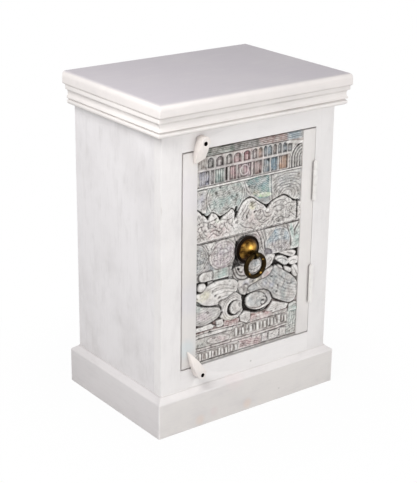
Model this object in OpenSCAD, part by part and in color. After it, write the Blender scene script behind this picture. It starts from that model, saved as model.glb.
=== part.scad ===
// Bedside pot cupboard: a small painted cupboard with a moulded top and plinth, and one inset door
// with a carved board, a ring pull, two butt hinges and two wooden turn buttons.
// +X is the hinge side, -Y the front, +Z up. The origin is the centre of the outline, at the floor.

/* [Body] */
// Overall height, floor to top
height = 600; // [560:1:680]
// Width across the outer faces of the sides
body_w = 376; // [350:1:440]
// Depth from the front of the face frame to the back
body_d = 264; // [230:1:340]
// Thickness of the side panels
side_t = 18; // [14:1:22]
// Thickness of the back panel
back_t = 6; // [4:1:10]
// Thickness of the bottom board and the shelf
board_t = 18; // [12:1:22]
// Height of the shelf's underside
shelf_z = 300; // [240:1:380]
// Distance from the face frame back to the shelf's front edge
shelf_setback = 26; // [20:1:80]
// Section of the cleats and battens
cleat = 18; // [12:1:24]

/* [Top] */
// Thickness of the top board
top_t = 22.5; // [18:0.5:28]
// How far the top board stands out at each side
top_side = 20.5; // [19:0.5:32]
// How far it stands out at the front
top_front = 24; // [19:0.5:34]
// How far it stands out at the back
top_back = 9; // [0:0.5:16]
// Radius of its rounded upper edge
top_round = 10; // [4:0.5:12]
// Radius of its softened lower edge
top_soften = 2.5; // [1:0.5:4]

/* [Cornice] */
// Height of the moulding under the top
cornice_h = 35.5; // [32:0.5:44]
// Reach of its upper fillet
fillet_reach = 18.5; // [17:0.5:19]
// Height of its upper fillet
fillet_h = 8.5; // [6:0.5:12]
// Reach of the thin lip between the cove and the bead
lip_reach = 16; // [15:0.5:17]
// Thickness of that lip
lip_h = 2; // [1.5:0.5:3]
// Reach at the hollow of the cove
cove_reach = 13.6; // [12:0.2:14.4]
// Reach in the groove above the bead
groove_reach = 12.5; // [10:0.5:13.5]
// Reach of the bottom bead
bead_reach = 15.6; // [14.5:0.1:16]
// Radius of the bottom bead
bead_r = 4.6; // [3.5:0.1:5]

/* [Plinth] */
// Height of the plinth
plinth_h = 74; // [56:1:84]
// Thickness of its boards
plinth_t = 13; // [10:0.5:18]
// Fall of its sloping upper edge
plinth_fall = 7; // [3:0.5:8]
// Radius of its nose
plinth_nose = 4; // [2:0.5:5]
// Height of the step beside the body
plinth_step = 1.2; // [0.6:0.2:2]

/* [Face frame] */
// Thickness of the face frame and of the door
frame_t = 20; // [18:1:24]
// Width of the stiles
stile_w = 41.5; // [32:0.5:60]
// Height of the upper rail, most of it behind the cornice
rail_top_h = 70.5; // [64:0.5:100]
// Height of the door opening's lower edge
open_z = 110.5; // [102:0.5:140]
// Height of the lower rail's underside
rail_low_z = 40; // [20:1:60]
// Length of the rails' tenons
tenon_l = 20; // [12:1:26]
// Thickness of the rails' tenons
tenon_t = 8; // [6:1:10]
// Shoulder above and below each tenon
tenon_shoulder = 10; // [6:1:14]

/* [Door] */
// Gap between the door and its opening
door_gap = 3; // [2.8:0.1:4]
// Gap beside the hinges' recesses, where the door's edge comes nearer to the frame
hinge_gap = 1.2; // [0.8:0.1:1.8]
// Width of the stile at the latch side
latch_stile_w = 29.5; // [24:0.5:40]
// Width of the stile at the hinge side
hinge_stile_w = 25.5; // [24:0.5:40]
// Thickness of the carved board
carved_t = 18; // [15:1:18]
// Length of its tongues in the stiles
tongue_l = 7.5; // [5:0.5:9]
// Thickness of its tongues
tongue_t = 6; // [4:1:7]
// Height of the battens across the door's back
batten_h = 40; // [30:1:50]
// Thickness of those battens
batten_t = 12; // [10:1:14]
// Distance of the battens from the door's ends
batten_inset = 36; // [24:1:60]
// Distance of the battens from the door's edges
batten_side = 9; // [6:1:11]
// Distance of the battens' screws from the battens' ends
batten_screw_in = 4.5; // [4:0.5:5]

/* [Carving] */
// Depth from the highest carving to the ground
relief = 6; // [4:0.5:8]
// Teeth in the upper comb
teeth_upper = 15; // [8:1:18]
// Teeth in the lower comb
teeth_lower = 9; // [5:1:11]
// Windows in the upper arcade
windows_upper = 14; // [8:1:16]
// Windows in the lower arcade
windows_lower = 9; // [6:1:11]

/* [Hinges] */
// Length of each hinge
hinge_l = 72; // [60:1:80]
// Distance from each end of the door to its hinge
hinge_inset = 60; // [40:1:90]
// Radius of the barrel
barrel_r = 4; // [3.4:0.1:4.3]
// Distance of the pin's axis in front of the face frame
barrel_proud = 4.2; // [4.2:0.1:5]
// Thickness of the leaves
leaf_t = 1.2; // [0.8:0.1:1.3]
// Radius of the pin
hinge_pin_r = 1.5; // [1.2:0.1:2]
// Radial running clearance of the pin
running = 0.06; // [0.02:0.01:0.1]
// Gap between the knuckles
knuckle_gap = 0.3; // [0.2:0.1:0.6]

/* [Ring pull] */
// Sideways place of the pull, from the middle
pull_x = -3; // [-20:0.5:20]
// Radius of the round backplate
rose_r = 25; // [22:0.5:28]
// Thickness of the backplate
rose_t = 2.4; // [1.6:0.2:4]
// Radius of the dome
dome_r = 17; // [13:0.5:19]
// Height of the dome
dome_h = 12; // [8:0.5:14]
// Radius of the ring to the middle of its wire
ring_r = 20; // [18:0.5:25]
// Radius of the ring's wire
wire_r = 4.4; // [3:0.1:4.8]
// Radius of the eye's outside
eye_r = 7.8; // [7.2:0.1:8.6]
// Thickness of the eye
eye_t = 6; // [4:0.5:7]
// Distance of the eye's middle below the shank
eye_drop = 3.6; // [3:0.1:4.5]
// Radius of the eye bolt's shank
shank_r = 3; // [2.4:0.1:3.4]

/* [Turn buttons] */
// Thickness of the turn buttons
button_t = 16; // [12:0.5:18]
// Thickness of a button at its tip
tip_t = 5; // [3:0.5:8]
// Radius of a button's head
head_r = 9.5; // [8:0.5:11]
// Half width of the upper button where it starts to run to its tip
belly_top = 8; // [6:0.5:8.5]
// Half width of the lower button there
belly_low = 7; // [6:0.5:8.5]
// Length from the upper button's screw to its tip
reach_top = 37; // [30:0.5:44]
// Length from the lower button's screw to its tip
reach_low = 50; // [36:0.5:52]
// Length from the upper button's screw to the end of its head
tail_top = 12; // [8:0.5:14]
// Length from the lower button's screw to the end of its head
tail_low = 7; // [6:0.5:14]
// Lean of the upper button from straight down
lean_top = 19; // [0:1:40]
// Lean of the lower button from straight up
lean_low = 27; // [0:1:40]
// Distance of the buttons' screws from the door's latch edge
button_in = 34; // [26:0.5:46]
// Radius of the screws' shanks
screw_r = 2; // [1.6:0.1:2.4]
// Radius of the screws' heads
screw_head_r = 3.3; // [3:0.1:3.8]
// Clearance under a button and at its screw's head
button_play = 0.3; // [0.2:0.1:0.5]

/* [Hidden] */
$fn = 64;

// Heights and half widths that several pieces share
half_w = body_w / 2;
inner_w = half_w - side_t;
open_w = half_w - stile_w;
carcass_h = height - top_t;
open_top = carcass_h - rail_top_h;
cornice_z = carcass_h - cornice_h;
inner_back = body_d - back_t;
floor_z = open_z - board_t;

// Door edges
door_w = open_w - door_gap;
door_z0 = open_z + door_gap;
door_z1 = open_top - door_gap;
door_h = door_z1 - door_z0;
door_mid = (door_z0 + door_z1) / 2;
board_x0 = -door_w + latch_stile_w;
board_x1 = door_w - hinge_stile_w;
board_w = board_x1 - board_x0;

// Battens under the top, and the strip that the closed door rests against
batten_d = cleat * 1.6;
top_screw_l = cleat + top_t * 0.6;
stop_lap = 7;
stop_l = open_w * 1.2;
stop_gap = 0.3;
stop_rise = 16;
recess_play = 0.5;

// Nails through the back panel
nail_r = 1;
nail_l = 18;
nail_head_t = 0.6;
nail_x = inner_w + side_t / 4;
nail_end = 60;

// Door joints
tongue_y = carved_t / 2;
batten_zs = [door_z0 + batten_inset, door_z1 - batten_inset - batten_h];
batten_screw_l = batten_t + frame_t * 0.6;

// Board size that the carving is drawn on, and its scale on this board
design_w = 232;
design_h = 390.5;
k_u = board_w / design_w;
k_v = door_h / design_h;
k_r = min(k_u, k_v);

// Hinge axis
hinge_x = open_w - door_gap / 2;
hinge_y = -barrel_proud;
knuckles = 5;
hinge_zs = [door_z1 - hinge_inset - hinge_l, door_z0 + hinge_inset];
leaf_y0 = hinge_y + barrel_r + 0.9;
leaf_screw_r = 1.5;
leaf_screw_l = 9;

// Ring pull
pull_z = door_mid - 1;
eye_z = pull_z - eye_drop;
ring_out = rose_t + dome_h + eye_r;
eye_bore_r = wire_r + 0.5;
dome_y = -rose_t;
nut_t = 5;
washer_t = 1.2;

// Turn buttons: pivots on the rails, just past the door's edge
button_x = -door_w + button_in;
button_top_z = open_top + 13.5;
button_low_z = open_z - 10.5;
counterbore_r = screw_head_r + 0.3;
counterbore_d = 8;
screw_head_t = 2.4;
screw_in_wood = 15;

// The middle of the whole outline lies over the origin
ring_front = ring_out + max(wire_r, eye_r);
mid_y = (body_d + plinth_t - ring_front) / 2;

white_top = [0.79, 0.77, 0.79];
white_side = [0.9, 0.88, 0.87];
white_door = [0.88, 0.86, 0.85];
raw_wood = [0.72, 0.6, 0.46];
washed = [0.78, 0.79, 0.77];
brass = [0.62, 0.47, 0.2];
dark_brass = [0.2, 0.16, 0.12];
steel = [0.6, 0.6, 0.6];

// ---- helpers ----

module placed() { translate([0, -mid_y, 0]) children(); }

// A box between two corners
module block(a, b) { translate(a) cube(b - a); }

// Stands a flat shape drawn in x and z on the plane y, thickened towards the front
module standing(y, t) { translate([0, y, 0]) rotate([90, 0, 0]) linear_extrude(t) children(); }

// A countersunk screw along +Z: its head's face at 0, its tip at l
module csk_screw(l, r, head_r) {
    cylinder(r1 = head_r, r2 = r, h = head_r - r);
    cylinder(r = r, h = l - r);
    translate([0, 0, l - r]) cylinder(r1 = r, r2 = 0.2, h = r);
}

// Runs a moulding along +X for l, standing out towards -Y, with mitred or square ends
module moulding(l, reach, h, mitre0, mitre1) {
    intersection() {
        translate([-reach, 0, 0]) rotate([90, 0, 90]) linear_extrude(l + 2 * reach)
            mirror([1, 0]) children();
        linear_extrude(h) polygon([[0, 0], [l, 0], [l + reach * mitre1, -reach],
            [-reach * mitre0, -reach]]);
    }
}

// ---- carcass ----

module side_panel() {
    difference() {
        block([-half_w, frame_t, 0], [-inner_w, body_d, carcass_h]);
        block([-inner_w - side_t / 2, inner_back, -1], [-inner_w + 1, body_d + 1, carcass_h + 1]);
        nail_places() nail();
    }
}

module side_panel_left() { color(white_side) placed() side_panel(); }

module side_panel_right() { color(white_side) placed() mirror([1, 0, 0]) side_panel(); }

module back_panel() {
    color(white_side) placed() difference() {
        block([-inner_w - side_t / 2, inner_back, 0], [inner_w + side_t / 2, body_d, carcass_h]);
        nail_places() nail();
    }
}

module bottom_board() {
    color(raw_wood) placed()
        block([-inner_w, frame_t, floor_z], [inner_w, inner_back, open_z]);
}

module side_cleat(z) {
    block([-inner_w, frame_t + 10, z - cleat], [-inner_w + cleat, inner_back - 10, z]);
}

module bottom_cleat_left() { color(raw_wood) placed() side_cleat(floor_z); }

module bottom_cleat_right() { color(raw_wood) placed() mirror([1, 0, 0]) side_cleat(floor_z); }

module shelf() {
    color(raw_wood) placed() block([-inner_w, frame_t + shelf_setback, shelf_z],
        [inner_w, inner_back, shelf_z + board_t]);
}

module shelf_cleat() {
    block([-inner_w, frame_t + shelf_setback + 8, shelf_z - cleat],
        [-inner_w + cleat, inner_back, shelf_z]);
}

module shelf_cleat_left() { color(raw_wood) placed() shelf_cleat(); }

module shelf_cleat_right() { color(raw_wood) placed() mirror([1, 0, 0]) shelf_cleat(); }

// The top is the overlap of two runs, so that its rounded edges meet in a mitre
module top_outline(x0, x1, r0, r1) {
    difference() {
        translate([x0, 0]) square([x1 - x0, top_t]);
        for (e = [[x0, 1, r0], [x1, -1, r1]]) {
            if (e[2] > 0) {
                translate([e[0] + e[1] * e[2], top_t - e[2]]) difference() {
                    translate([e[1] > 0 ? -e[2] - 1 : 0, 0]) square([e[2] + 1, e[2] + 1]);
                    circle(r = e[2]);
                }
                translate([e[0] + e[1] * top_soften, top_soften]) difference() {
                    translate([e[1] > 0 ? -top_soften - 1 : 0, -top_soften - 1])
                        square(top_soften + 1);
                    circle(r = top_soften);
                }
            }
        }
    }
}

module top_board() {
    edge_x = half_w + top_side;
    color(white_top) placed() difference() {
        translate([0, 0, carcass_h]) intersection() {
            translate([0, body_d + top_back, 0]) rotate([90, 0, 0])
                linear_extrude(body_d + top_back + top_front)
                top_outline(-edge_x, edge_x, top_round, top_round);
            translate([-edge_x, 0, 0]) rotate([90, 0, 90]) linear_extrude(2 * edge_x)
                top_outline(-top_front, body_d + top_back, top_round, 2);
        }
        top_screw_places() csk_screw(top_screw_l, screw_r, screw_head_r);
    }
}

module top_screw_places() {
    for (x = [-inner_w * 0.7, inner_w * 0.7], y = [frame_t + batten_d / 2, inner_back - batten_d / 2])
        translate([x, y, carcass_h - cleat]) children();
}

module top_batten(y0) {
    difference() {
        block([-inner_w, y0, carcass_h - cleat], [inner_w, y0 + batten_d, carcass_h]);
        top_screw_places() csk_screw(top_screw_l, screw_r, screw_head_r);
    }
}

module top_batten_front() { color(raw_wood) placed() top_batten(frame_t); }

module top_batten_back() { color(raw_wood) placed() top_batten(inner_back - batten_d); }

module top_screws() {
    color(steel) placed() top_screw_places() csk_screw(top_screw_l, screw_r, screw_head_r);
}

// ---- face frame ----

// Rails end in tenons, and the stiles hold the same blocks as mortises
module tenon(side, z0, z1) {
    x0 = side < 0 ? -open_w - tenon_l : open_w;
    block([x0, (frame_t - tenon_t) / 2, z0 + tenon_shoulder],
        [x0 + tenon_l, (frame_t + tenon_t) / 2, z1 - tenon_shoulder]);
}

module face_stile(side) {
    difference() {
        block([side < 0 ? -half_w : open_w, 0, 0], [side < 0 ? -open_w : half_w, frame_t, carcass_h]);
        tenon(side, open_top, carcass_h);
        tenon(side, rail_low_z, open_z);
        if (side > 0) hinge_screw_places(1) csk_screw(leaf_screw_l, leaf_screw_r, leaf_screw_r + leaf_t);
    }
}

module face_stile_left() { color(white_side) placed() face_stile(-1); }

module face_stile_right() { color(white_side) placed() face_stile(1); }

module face_rail(z0, z1, button_z) {
    difference() {
        union() {
            block([-open_w, 0, z0], [open_w, frame_t, z1]);
            tenon(-1, z0, z1);
            tenon(1, z0, z1);
        }
        button_place(button_z) button_screw();
    }
}

module face_rail_top() { color(white_side) placed() face_rail(open_top, carcass_h, button_top_z); }

module face_rail_bottom() { color(white_side) placed() face_rail(rail_low_z, open_z, button_low_z); }

// A strip behind the upper rail that the closed door rests against
module door_stop() {
    color(raw_wood) placed() difference() {
        block([-stop_l / 2, frame_t, door_z1 - stop_lap], [stop_l / 2, frame_t + batten_t, open_top + stop_rise]);
        block([-stop_l, frame_t - 1, door_z1 - stop_lap - 1], [stop_l, frame_t + stop_gap, open_top]);
    }
}

// ---- mouldings ----

module cornice_profile() {
    cove_z0 = 2 * bead_r + 1.8 + lip_h;
    cove_z1 = cornice_h - fillet_h;
    half = (cove_z1 - cove_z0) / 2;
    sag = lip_reach - cove_reach;
    cove_r = (half * half + sag * sag) / (2 * sag);
    translate([0, cove_z1]) square([fillet_reach, fillet_h]);
    difference() {
        translate([0, cove_z0 - lip_h]) square([lip_reach, cove_z1 - cove_z0 + lip_h]);
        translate([cove_reach + cove_r, cove_z0 + half]) circle(r = cove_r);
    }
    square([groove_reach, cove_z0 - lip_h]);
    translate([bead_reach - bead_r, bead_r]) circle(r = bead_r);
    square([bead_reach - bead_r, 2 * bead_r]);
}

module cornice_run(l, mitre0, mitre1) {
    translate([0, 0, cornice_z]) moulding(l, fillet_reach, cornice_h, mitre0, mitre1)
        cornice_profile();
}

module cornice_front() {
    color(white_side) placed() translate([-half_w, 0, 0]) cornice_run(body_w, 1, 1);
}

module cornice_left() {
    color(white_side) placed() translate([-half_w, body_d, 0]) rotate([0, 0, -90])
        cornice_run(body_d, 0, 1);
}

module cornice_right() {
    color(white_side) placed() translate([half_w, 0, 0]) rotate([0, 0, 90])
        cornice_run(body_d, 1, 0);
}

// The slope runs from beside the body to where it touches the round nose
module plinth_profile() {
    nose = [plinth_t - plinth_nose, plinth_h - plinth_fall - plinth_nose];
    top = [2, plinth_h - plinth_step];
    away = top - nose;
    turn = atan2(away[1], away[0]) - acos(plinth_nose / norm(away));
    touch = nose + plinth_nose * [cos(turn), sin(turn)];
    polygon([[0, 0], [plinth_t, 0], [plinth_t, nose[1]], nose, touch, top, [0, top[1]]]);
    translate(nose) circle(r = plinth_nose);
    square([2, plinth_h]);
}

module plinth_run(l) { moulding(l, plinth_t, plinth_h, 1, 1) plinth_profile(); }

module plinth_front() { color(white_side) placed() translate([-half_w, 0, 0]) plinth_run(body_w); }

module plinth_left() {
    color(white_side) placed() translate([-half_w, body_d, 0]) rotate([0, 0, -90]) plinth_run(body_d);
}

module plinth_right() {
    color(white_side) placed() translate([half_w, 0, 0]) rotate([0, 0, 90]) plinth_run(body_d);
}

module plinth_back() {
    color(white_side) placed() translate([half_w, body_d, 0]) rotate([0, 0, 180]) plinth_run(body_w);
}

// ---- nails of the back panel ----

module nail_places() {
    z0 = plinth_h + nail_end;
    for (side = [-1, 1], i = [0:3])
        translate([side * nail_x, body_d, z0 + i * (carcass_h - nail_end - z0) / 3]) rotate([90, 0, 0])
            children();
}

// A flat-headed nail along +Z, its head standing on the panel at 0
module nail() {
    translate([0, 0, -nail_head_t]) cylinder(r = 2.2 * nail_r, h = nail_head_t);
    cylinder(r = nail_r, h = nail_l);
}

module back_nails() { color(steel) placed() nail_places() nail(); }

// ---- door ----

// A tongue of the carved board, which the stile holds as a groove
module tongue(side) {
    x0 = side < 0 ? board_x0 - tongue_l : board_x1;
    block([x0, tongue_y, door_z0], [x0 + tongue_l, tongue_y + tongue_t, door_z1]);
}

module door_stile_latch() {
    color(white_door) placed() difference() {
        block([-door_w, 0, door_z0], [board_x0, frame_t, door_z1]);
        tongue(-1);
        batten_screw_places() csk_screw(batten_screw_l, screw_r, screw_head_r);
    }
}

module door_stile_hinge() {
    color(white_door) placed() difference() {
        block([board_x1, 0, door_z0], [open_w - hinge_gap, frame_t, door_z1]);
        for (z = hinge_zs)
            block([door_w, -1, z - recess_play], [open_w, frame_t + 1, z + hinge_l + recess_play]);
        tongue(1);
        hinge_screw_places(-1) csk_screw(leaf_screw_l, leaf_screw_r, leaf_screw_r + leaf_t);
        batten_screw_places() csk_screw(batten_screw_l, screw_r, screw_head_r);
    }
}

module door_batten(z) {
    difference() {
        block([-door_w + batten_side, frame_t, z], [door_w - batten_side, frame_t + batten_t, z + batten_h]);
        batten_screw_places() csk_screw(batten_screw_l, screw_r, screw_head_r);
    }
}

module door_batten_bottom() { color(raw_wood) placed() door_batten(batten_zs[0]); }

module door_batten_top() { color(raw_wood) placed() door_batten(batten_zs[1]); }

// Two screws in each end of each batten, driven from the back into the door's stiles
module batten_screw_places() {
    x = door_w - batten_side - batten_screw_in;
    for (side = [-1, 1], z = batten_zs, i = [0.25, 0.75])
        translate([side * x, frame_t + batten_t, z + i * batten_h]) rotate([90, 0, 0]) children();
}

module batten_screws() {
    color(steel) placed() batten_screw_places() csk_screw(batten_screw_l, screw_r, screw_head_r);
}

// ---- carved board ----
// The pattern is drawn on a board of design_w by design_h from its lower latch-side corner,
// and follows the board when its size changes

function at(u, v) = [board_x0 + u * k_u, door_z0 + v * k_v];

module carve(h) {
    standing(relief + 1, h + 1) intersection() {
        children();
        translate(at(0, 0)) square([board_w, door_h]);
    }
}

module panel(u0, v0, u1, v1) {
    translate(at(u0, v0)) square([(u1 - u0) * k_u, (v1 - v0) * k_v]);
}

module disc(u, v, r) { translate(at(u, v)) circle(r = r * k_r); }

module oval(u, v, a, b, tilt = 0) {
    translate(at(u, v)) rotate(tilt)
        polygon([for (i = [0:35]) k_r * [a * cos(i * 10), b * sin(i * 10)]]);
}

// A pointed leaf between two places, w wide
module leaf(p, q, w) {
    a = at(p[0], p[1]);
    b = at(q[0], q[1]);
    long = norm(b - a) / 2;
    r = (long * long + w * w * k_r * k_r / 4) / (w * k_r);
    translate((a + b) / 2) rotate(atan2(b[1] - a[1], b[0] - a[0])) intersection() {
        translate([0, r - w * k_r / 2]) circle(r = r);
        translate([0, w * k_r / 2 - r]) circle(r = r);
    }
}

// Points of an arc round the origin
function arc(r, a0, a1) = [for (i = [0:12]) let (t = a0 + i * (a1 - a0) / 12) r * [cos(t), sin(t)]];

// A bar with round ends between two places
module bar(p, q, r) {
    a = at(p[0], p[1]);
    b = at(q[0], q[1]);
    translate(a) rotate(atan2(b[1] - a[1], b[0] - a[0])) polygon(concat(
        [for (e = arc(r * k_r, -90, 90)) e + [norm(b - a), 0]], arc(r * k_r, 90, 270)));
}

// A window w wide and h high, with a round head
module window(u, v, w, h) {
    a = w / 2 * k_u;
    translate(at(u + w / 2, v)) polygon(concat([[-a, 0], [a, 0]],
        [for (e = arc(a, 0, 180)) e + [0, h * k_v - a]]));
}

module arch(u, v, r, h) {
    translate(at(u, v)) polygon(concat([[-r * k_r, -h * k_v], [r * k_r, -h * k_v]], arc(r * k_r, 0, 180)));
}

// Two storeys of windows below a lintel, and an arch of three rings at the right
module arcades() {
    arcade_w = 202;
    carve(relief - 1.5) panel(0, 379, design_w, design_h);
    carve(relief - 1) difference() {
        panel(0, 355, design_w, 378);
        step = arcade_w / windows_upper;
        for (i = [0:windows_upper - 1]) window(2 + i * step, 358, step - 4.5, 17);
        arch(226, 340, 30, 18);
    }
    carve(relief - 1) difference() {
        panel(0, 326, design_w, 354);
        step = arcade_w / windows_lower;
        for (i = [0:windows_lower - 1]) panel(3 + i * step, 329, (i + 1) * step - 3, 351);
        arch(226, 340, 30, 18);
    }
    for (r = [28, 20, 12]) carve(relief - 1.5) intersection() {
        difference() {
            arch(226, 340, r, 18);
            arch(226, 340, r - 4.5, 19);
        }
        panel(190, 326, design_w, 378);
    }
    carve(relief) panel(0, 321.5, design_w, 325.5);
}

// Rolling curves and a patch of waves
module waves() {
    carve(relief * 0.45) panel(0, 268, design_w, 323);
    carve(relief * 0.8) intersection() {
        difference() {
            disc(62, 306, 43);
            disc(62, 306, 39);
        }
        panel(0, 275, 110, 322);
    }
    for (r = [14:6:50]) carve(relief * 0.8) intersection() {
        difference() {
            disc(160, 334, r);
            disc(160, 334, r - 2.4);
        }
        panel(108, 283, 162, 322);
    }
    carve(relief * 0.8) panel(162, 280, 164.5, 322);
}

// Clouds with a scalloped upper edge over a field of small leaves
module clouds() {
    carve(relief * 0.85) {
        for (c = [[12, 262, 14], [35, 266, 11], [64, 260, 17], [118, 258, 28], [172, 258, 17],
            [196, 256, 20]]) disc(c[0], c[1], c[2]);
        panel(0, 225, 222, 258);
    }
    for (c = [[20, 244, 40], [58, 242, -35], [92, 250, 55], [120, 240, 20], [150, 246, -50],
        [182, 244, 30], [206, 242, -40]])
        carve(relief) leaf([c[0] - 11 * cos(c[2]), c[1] - 11 * sin(c[2])],
            [c[0] + 11 * cos(c[2]), c[1] + 11 * sin(c[2])], 8);
}

// Oval medallions in pointed frames, with a flat pad for the ring pull
module medallions() {
    carve(relief * 0.5) panel(0, 168, design_w, 226);
    for (c = [[0, 196], [59, 194], [182, 192], [236, 194]]) {
        carve(relief * 0.7) oval(c[0], c[1], 29, 28);
        carve(relief * 0.95) difference() {
            oval(c[0], c[1], 26, 25);
            oval(c[0], c[1], 23, 22);
        }
        carve(relief * 0.95) oval(c[0], c[1], 14, 12);
    }
    standing(relief + 1, relief + 1) translate([pull_x, pull_z]) circle(r = rose_r + 1);
}

// A snail: a round form with an open crescent and a raised heart
module volute(u, v, a, b, heart) {
    carve(relief * 0.95) difference() {
        oval(u, v, a, b);
        difference() {
            oval(u - a * 0.1, v - b * 0.12, a * 0.62, b * 0.62);
            oval(u + a * 0.06, v, a * 0.52, b * 0.52);
        }
    }
    carve(relief) disc(u + a * 0.1, v, heart);
}

module foliage() {
    carve(relief * 0.75) {
        panel(8, 152, 40, 168);
        disc(12, 160, 9);
        panel(42, 154, 74, 168);
        disc(212, 156, 9);
        disc(226, 126, 10);
    }
    carve(relief) {
        disc(13, 145, 9);
        leaf([-26, 134], [96, 124], 50);
    }
    carve(relief * 0.85) bar([0, 92], [24, 92], 20);
    carve(relief) bar([150, 136], [212, 89], 18);
    volute(86, 91, 31, 26, 8);
    volute(142, 90, 33, 25, 9);
}

// Slanting slabs, and two combs with an eye-shaped leaf between them
module combs() {
    carve(relief * 0.4) panel(0, 0, design_w, 72);
    carve(relief * 0.8) {
        panel(8, 61, 40, 69);
        panel(46, 60, 58, 72);
        bar([64, 62], [100, 58], 4);
        bar([168, 78], [206, 62], 5);
        panel(0, 47, 92, 50);
        panel(0, 53, 96, 56);
    }
    teeth_pitch = 142 / teeth_upper;
    for (i = [0:teeth_upper - 1])
        carve(relief * 0.8) panel(90 + i * teeth_pitch, 33, 90 + (i + 0.55) * teeth_pitch, 47);
    carve(relief * 0.6) panel(0, 22, design_w, 30);
    carve(relief * 0.9) leaf([30, 36], [76, 36], 15);
    low_pitch = 82 / teeth_lower;
    for (i = [0:teeth_lower - 1])
        carve(relief * 0.8) panel(12 + i * low_pitch, 4, 12 + (i + 0.55) * low_pitch, 19);
    carve(relief * 0.8) {
        panel(100, 5, 152, 17);
        panel(158, 4, 190, 20);
    }
}

module carved_board() {
    color(washed) placed() difference() {
        union() {
            block([board_x0, relief, door_z0], [board_x1, carved_t, door_z1]);
            tongue(-1);
            tongue(1);
            arcades();
            waves();
            clouds();
            medallions();
            foliage();
            combs();
        }
        pull_place() cylinder(r = shank_r, h = 2 * carved_t, center = true);
    }
}

// ---- hinges ----

// Screws of both leaves: side 1 goes into the face frame, side -1 into the door
module hinge_screw_places(side) {
    for (z = hinge_zs, i = [1 / 6, 1 / 2, 5 / 6])
        translate([hinge_x + side * (door_gap / 2 - leaf_t), (leaf_y0 + frame_t) / 2, z + i * hinge_l])
        rotate([0, side * 90, 0]) children();
}

module hinge_leaf(z, side) {
    knuckle_l = hinge_l / knuckles;
    x0 = hinge_x + (side > 0 ? door_gap / 2 - leaf_t : -door_gap / 2);
    difference() {
        union() {
            block([x0, leaf_y0, z], [x0 + leaf_t, frame_t - 1, z + hinge_l]);
            for (i = [side > 0 ? 0 : 1:2:knuckles - 1]) {
                low = z + i * knuckle_l + (i > 0 ? knuckle_gap / 2 : 0);
                high = z + (i + 1) * knuckle_l - (i < knuckles - 1 ? knuckle_gap / 2 : 0);
                translate([hinge_x, hinge_y, low]) cylinder(r = barrel_r, h = high - low);
                block([x0, hinge_y, low], [x0 + leaf_t, leaf_y0 + 1, high]);
            }
        }
        translate([hinge_x, hinge_y, z - 1]) cylinder(r = hinge_pin_r + running, h = hinge_l + 2);
        hinge_screw_places(side) csk_screw(leaf_screw_l, leaf_screw_r, leaf_screw_r + leaf_t);
    }
}

module hinge_pin(z) {
    translate([hinge_x, hinge_y, z]) {
        cylinder(r = hinge_pin_r, h = hinge_l);
        translate([0, 0, hinge_l]) cylinder(r1 = barrel_r * 0.8, r2 = barrel_r * 0.5, h = 1.6);
        translate([0, 0, -1.6]) cylinder(r1 = barrel_r * 0.5, r2 = barrel_r * 0.8, h = 1.6);
    }
}

module hinge_upper_frame_leaf() { color(white_side) placed() hinge_leaf(hinge_zs[0], 1); }

module hinge_upper_door_leaf() { color(white_side) placed() hinge_leaf(hinge_zs[0], -1); }

module hinge_upper_pin() { color(white_side) placed() hinge_pin(hinge_zs[0]); }

module hinge_lower_frame_leaf() { color(white_side) placed() hinge_leaf(hinge_zs[1], 1); }

module hinge_lower_door_leaf() { color(white_side) placed() hinge_leaf(hinge_zs[1], -1); }

module hinge_lower_pin() { color(white_side) placed() hinge_pin(hinge_zs[1]); }

module hinge_screws(side) {
    color(steel) placed() hinge_screw_places(side)
        csk_screw(leaf_screw_l, leaf_screw_r, leaf_screw_r + leaf_t);
}

module hinge_frame_screws() { hinge_screws(1); }

module hinge_door_screws() { hinge_screws(-1); }

// ---- ring pull ----

// Puts +Z along the shank, towards the back, with the face frame's front at 0
module pull_place() { translate([pull_x, 0, pull_z]) rotate([-90, 0, 0]) children(); }

module pull_rose() {
    color(dark_brass) placed() pull_place() difference() {
        translate([0, 0, -rose_t]) cylinder(r = rose_r, h = rose_t);
        cylinder(r = shank_r, h = 4 * rose_t, center = true);
    }
}

// A cap of a sphere
module pull_dome() {
    ball_r = (dome_r * dome_r + dome_h * dome_h) / (2 * dome_h);
    color(brass) placed() pull_place() difference() {
        intersection() {
            translate([0, 0, -rose_t - dome_h + ball_r]) sphere(r = ball_r);
            translate([0, 0, -rose_t - dome_h]) cylinder(r = dome_r, h = dome_h);
        }
        translate([0, 0, -rose_t - dome_h - 1]) cylinder(r = shank_r, h = dome_h + 2);
    }
}

module pull_eye() {
    shank_end = carved_t + washer_t + nut_t + 2;
    color(brass) placed() difference() {
        union() {
            pull_place() translate([0, 0, eye_bore_r - ring_out])
                cylinder(r = shank_r, h = ring_out - eye_bore_r + shank_end);
            translate([pull_x - eye_t / 2, -ring_out, eye_z]) rotate([0, 90, 0])
                cylinder(r = eye_r, h = eye_t);
        }
        translate([pull_x, -ring_out, eye_z]) rotate([0, 90, 0])
            cylinder(r = eye_bore_r, h = 4 * eye_t, center = true);
    }
}

module pull_washer() {
    color(brass) placed() pull_place() translate([0, 0, carved_t]) difference() {
        cylinder(r = 2.6 * shank_r, h = washer_t);
        translate([0, 0, -1]) cylinder(r = shank_r, h = washer_t + 2);
    }
}

module pull_nut() {
    color(brass) placed() pull_place() translate([0, 0, carved_t + washer_t]) difference() {
        cylinder(r = 2 * shank_r, h = nut_t, $fn = 6);
        translate([0, 0, -1]) cylinder(r = shank_r, h = nut_t + 2);
    }
}

module pull_ring() {
    color(dark_brass) placed() translate([pull_x, -ring_out, eye_z - ring_r]) rotate([90, 0, 0])
        rotate_extrude() translate([ring_r, 0]) circle(r = wire_r);
}

// ---- turn buttons ----

module button_place(z) { translate([button_x, 0, z]) children(); }

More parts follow.
